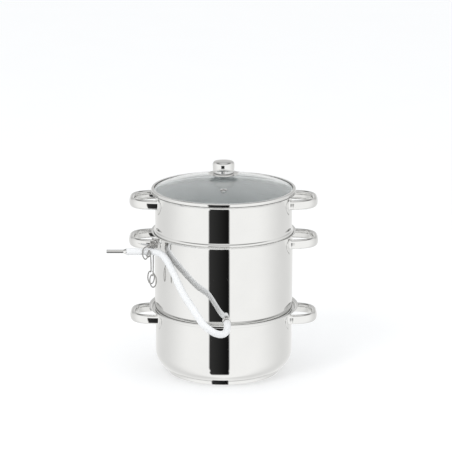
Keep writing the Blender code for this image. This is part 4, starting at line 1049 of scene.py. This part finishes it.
def stage():
    """A pale floor, which only the camera sees glow."""
    shape = bmesh.new()
    bmesh.ops.create_grid(shape, x_segments=8, y_segments=8, size=FLOOR_REACH)
    mesh = taken(shape)
    floor = put_in("floor", mesh)
    floor.location.z = -FLOOR_DROP
    floor.visible_glossy = False
    look = Look("pale_floor")
    grain = look.noise(look.place, scale=5.0, detail=3.0)
    mesh.materials.append(look.finished(
        Base_Color=look.blend(grain, (0.86, 0.86, 0.86), (0.88, 0.88, 0.88)),
        Roughness=look.ranged(grain, 0.3, 0.7, 0.75, 0.9),
        Specular_IOR_Level=0.0,
    ))
    glow = look.put(look.add("Emission"), Strength=look.maths("MULTIPLY", look.seen(), FLOOR_GLOW))
    both = look.fill(look.add("AddShader"), look.shader.outputs[0], glow)
    look.feed(look.tree.nodes["Material Output"].inputs["Surface"], both)


def lamp(name, place, size, power):
    data = bpy.data.lights.new(name, "AREA")
    data.shape = "DISK"
    data.size = size
    data.energy = power
    obj = put_in(name, data)
    obj.location = place
    obj.rotation_euler = (LAMP_AIM - Vector(place)).to_track_quat("-Z", "Y").to_euler()
    obj.visible_glossy = obj.visible_transmission = False


def room_in_metal(nodes):
    """How bright each direction is: a dark upright gap in front, and beside it walls that fall off to the
    sides, with dusk above the horizon at the rear and a dimmer ring high up."""
    x, y, z = nodes.split(nodes.add("TexCoord").outputs["Generated"])
    azimuth = nodes.maths("ARCTAN2", x, nodes.maths("MULTIPLY", y, -1.0))
    side = nodes.maths("ABSOLUTE", azimuth)

    def soft(value, ends):
        return nodes.ranged(value, *ends, smooth=True)

    def past(edge, tones):
        turn = nodes.maths("SUBTRACT", azimuth, nodes.ranged(z, *edge))
        return soft(turn, (-GAP_BLUR, GAP_BLUR, *tones))

    beside = nodes.maths("MAXIMUM", past(GAP_LEFT, (1.0, 0.0)), past(GAP_RIGHT, (0.0, 1.0)))
    clear = nodes.maths("MAXIMUM", beside, nodes.maths("MAXIMUM", soft(z, GAP_HEAD), soft(z, GAP_FOOT)))
    dusk = nodes.maths("MULTIPLY", soft(side, DUSK_SHARE), soft(z, DUSK_DEPTH))
    walls = nodes.maths("ADD", soft(side, SIDE_TONES), soft(side, REAR_LIFT))
    walls = nodes.maths("SUBTRACT", walls, dusk)
    ring = soft(nodes.maths("ABSOLUTE", nodes.maths("SUBTRACT", z, RING_HEIGHT)), RING_TONES)
    bright = nodes.maths("MULTIPLY", clear, nodes.maths("MULTIPLY", walls, ring))
    gap = nodes.ranged(azimuth, *GAP_TONES)
    return nodes.maths("ADD", bright, nodes.maths("MULTIPLY", nodes.maths("SUBTRACT", 1.0, clear), gap))


def studio():
    """A plain white room for the camera, an even pale light, and the room that polished metal sees."""
    world = bpy.data.worlds.new("studio")
    bpy.context.scene.world = world
    nodes = Nodes(world)
    nodes.tree.nodes.clear()

    def background(tint, level):
        return nodes.put(nodes.add("Background"), Color=tint, Strength=level)

    glossy = nodes.add("LightPath").outputs["Is Glossy Ray"]
    light, metal = background(LIGHT_TINT, LIGHT_LEVEL), background(METAL_TINT, room_in_metal(nodes))
    unseen = nodes.fill(nodes.add("MixShader"), glossy, light, metal)
    whole = nodes.fill(nodes.add("MixShader"), nodes.seen(), unseen, background(WHITE, 1.0))
    nodes.feed(nodes.add("OutputWorld").inputs["Surface"], whole)
    lamp("key", (-1.5, -1.7, 2.3), size=1.3, power=17.0)
    lamp("fill", (1.9, -1.2, 1.6), size=1.6, power=6.0)


make_camera()
hose()
water_pan()
juice_pot()
steam_cone()
spout()
clamp()
fruit_basket()
lid()
knob()
carried_over()
stage()
studio()
bpy.context.scene.view_settings.view_transform = "Standard"
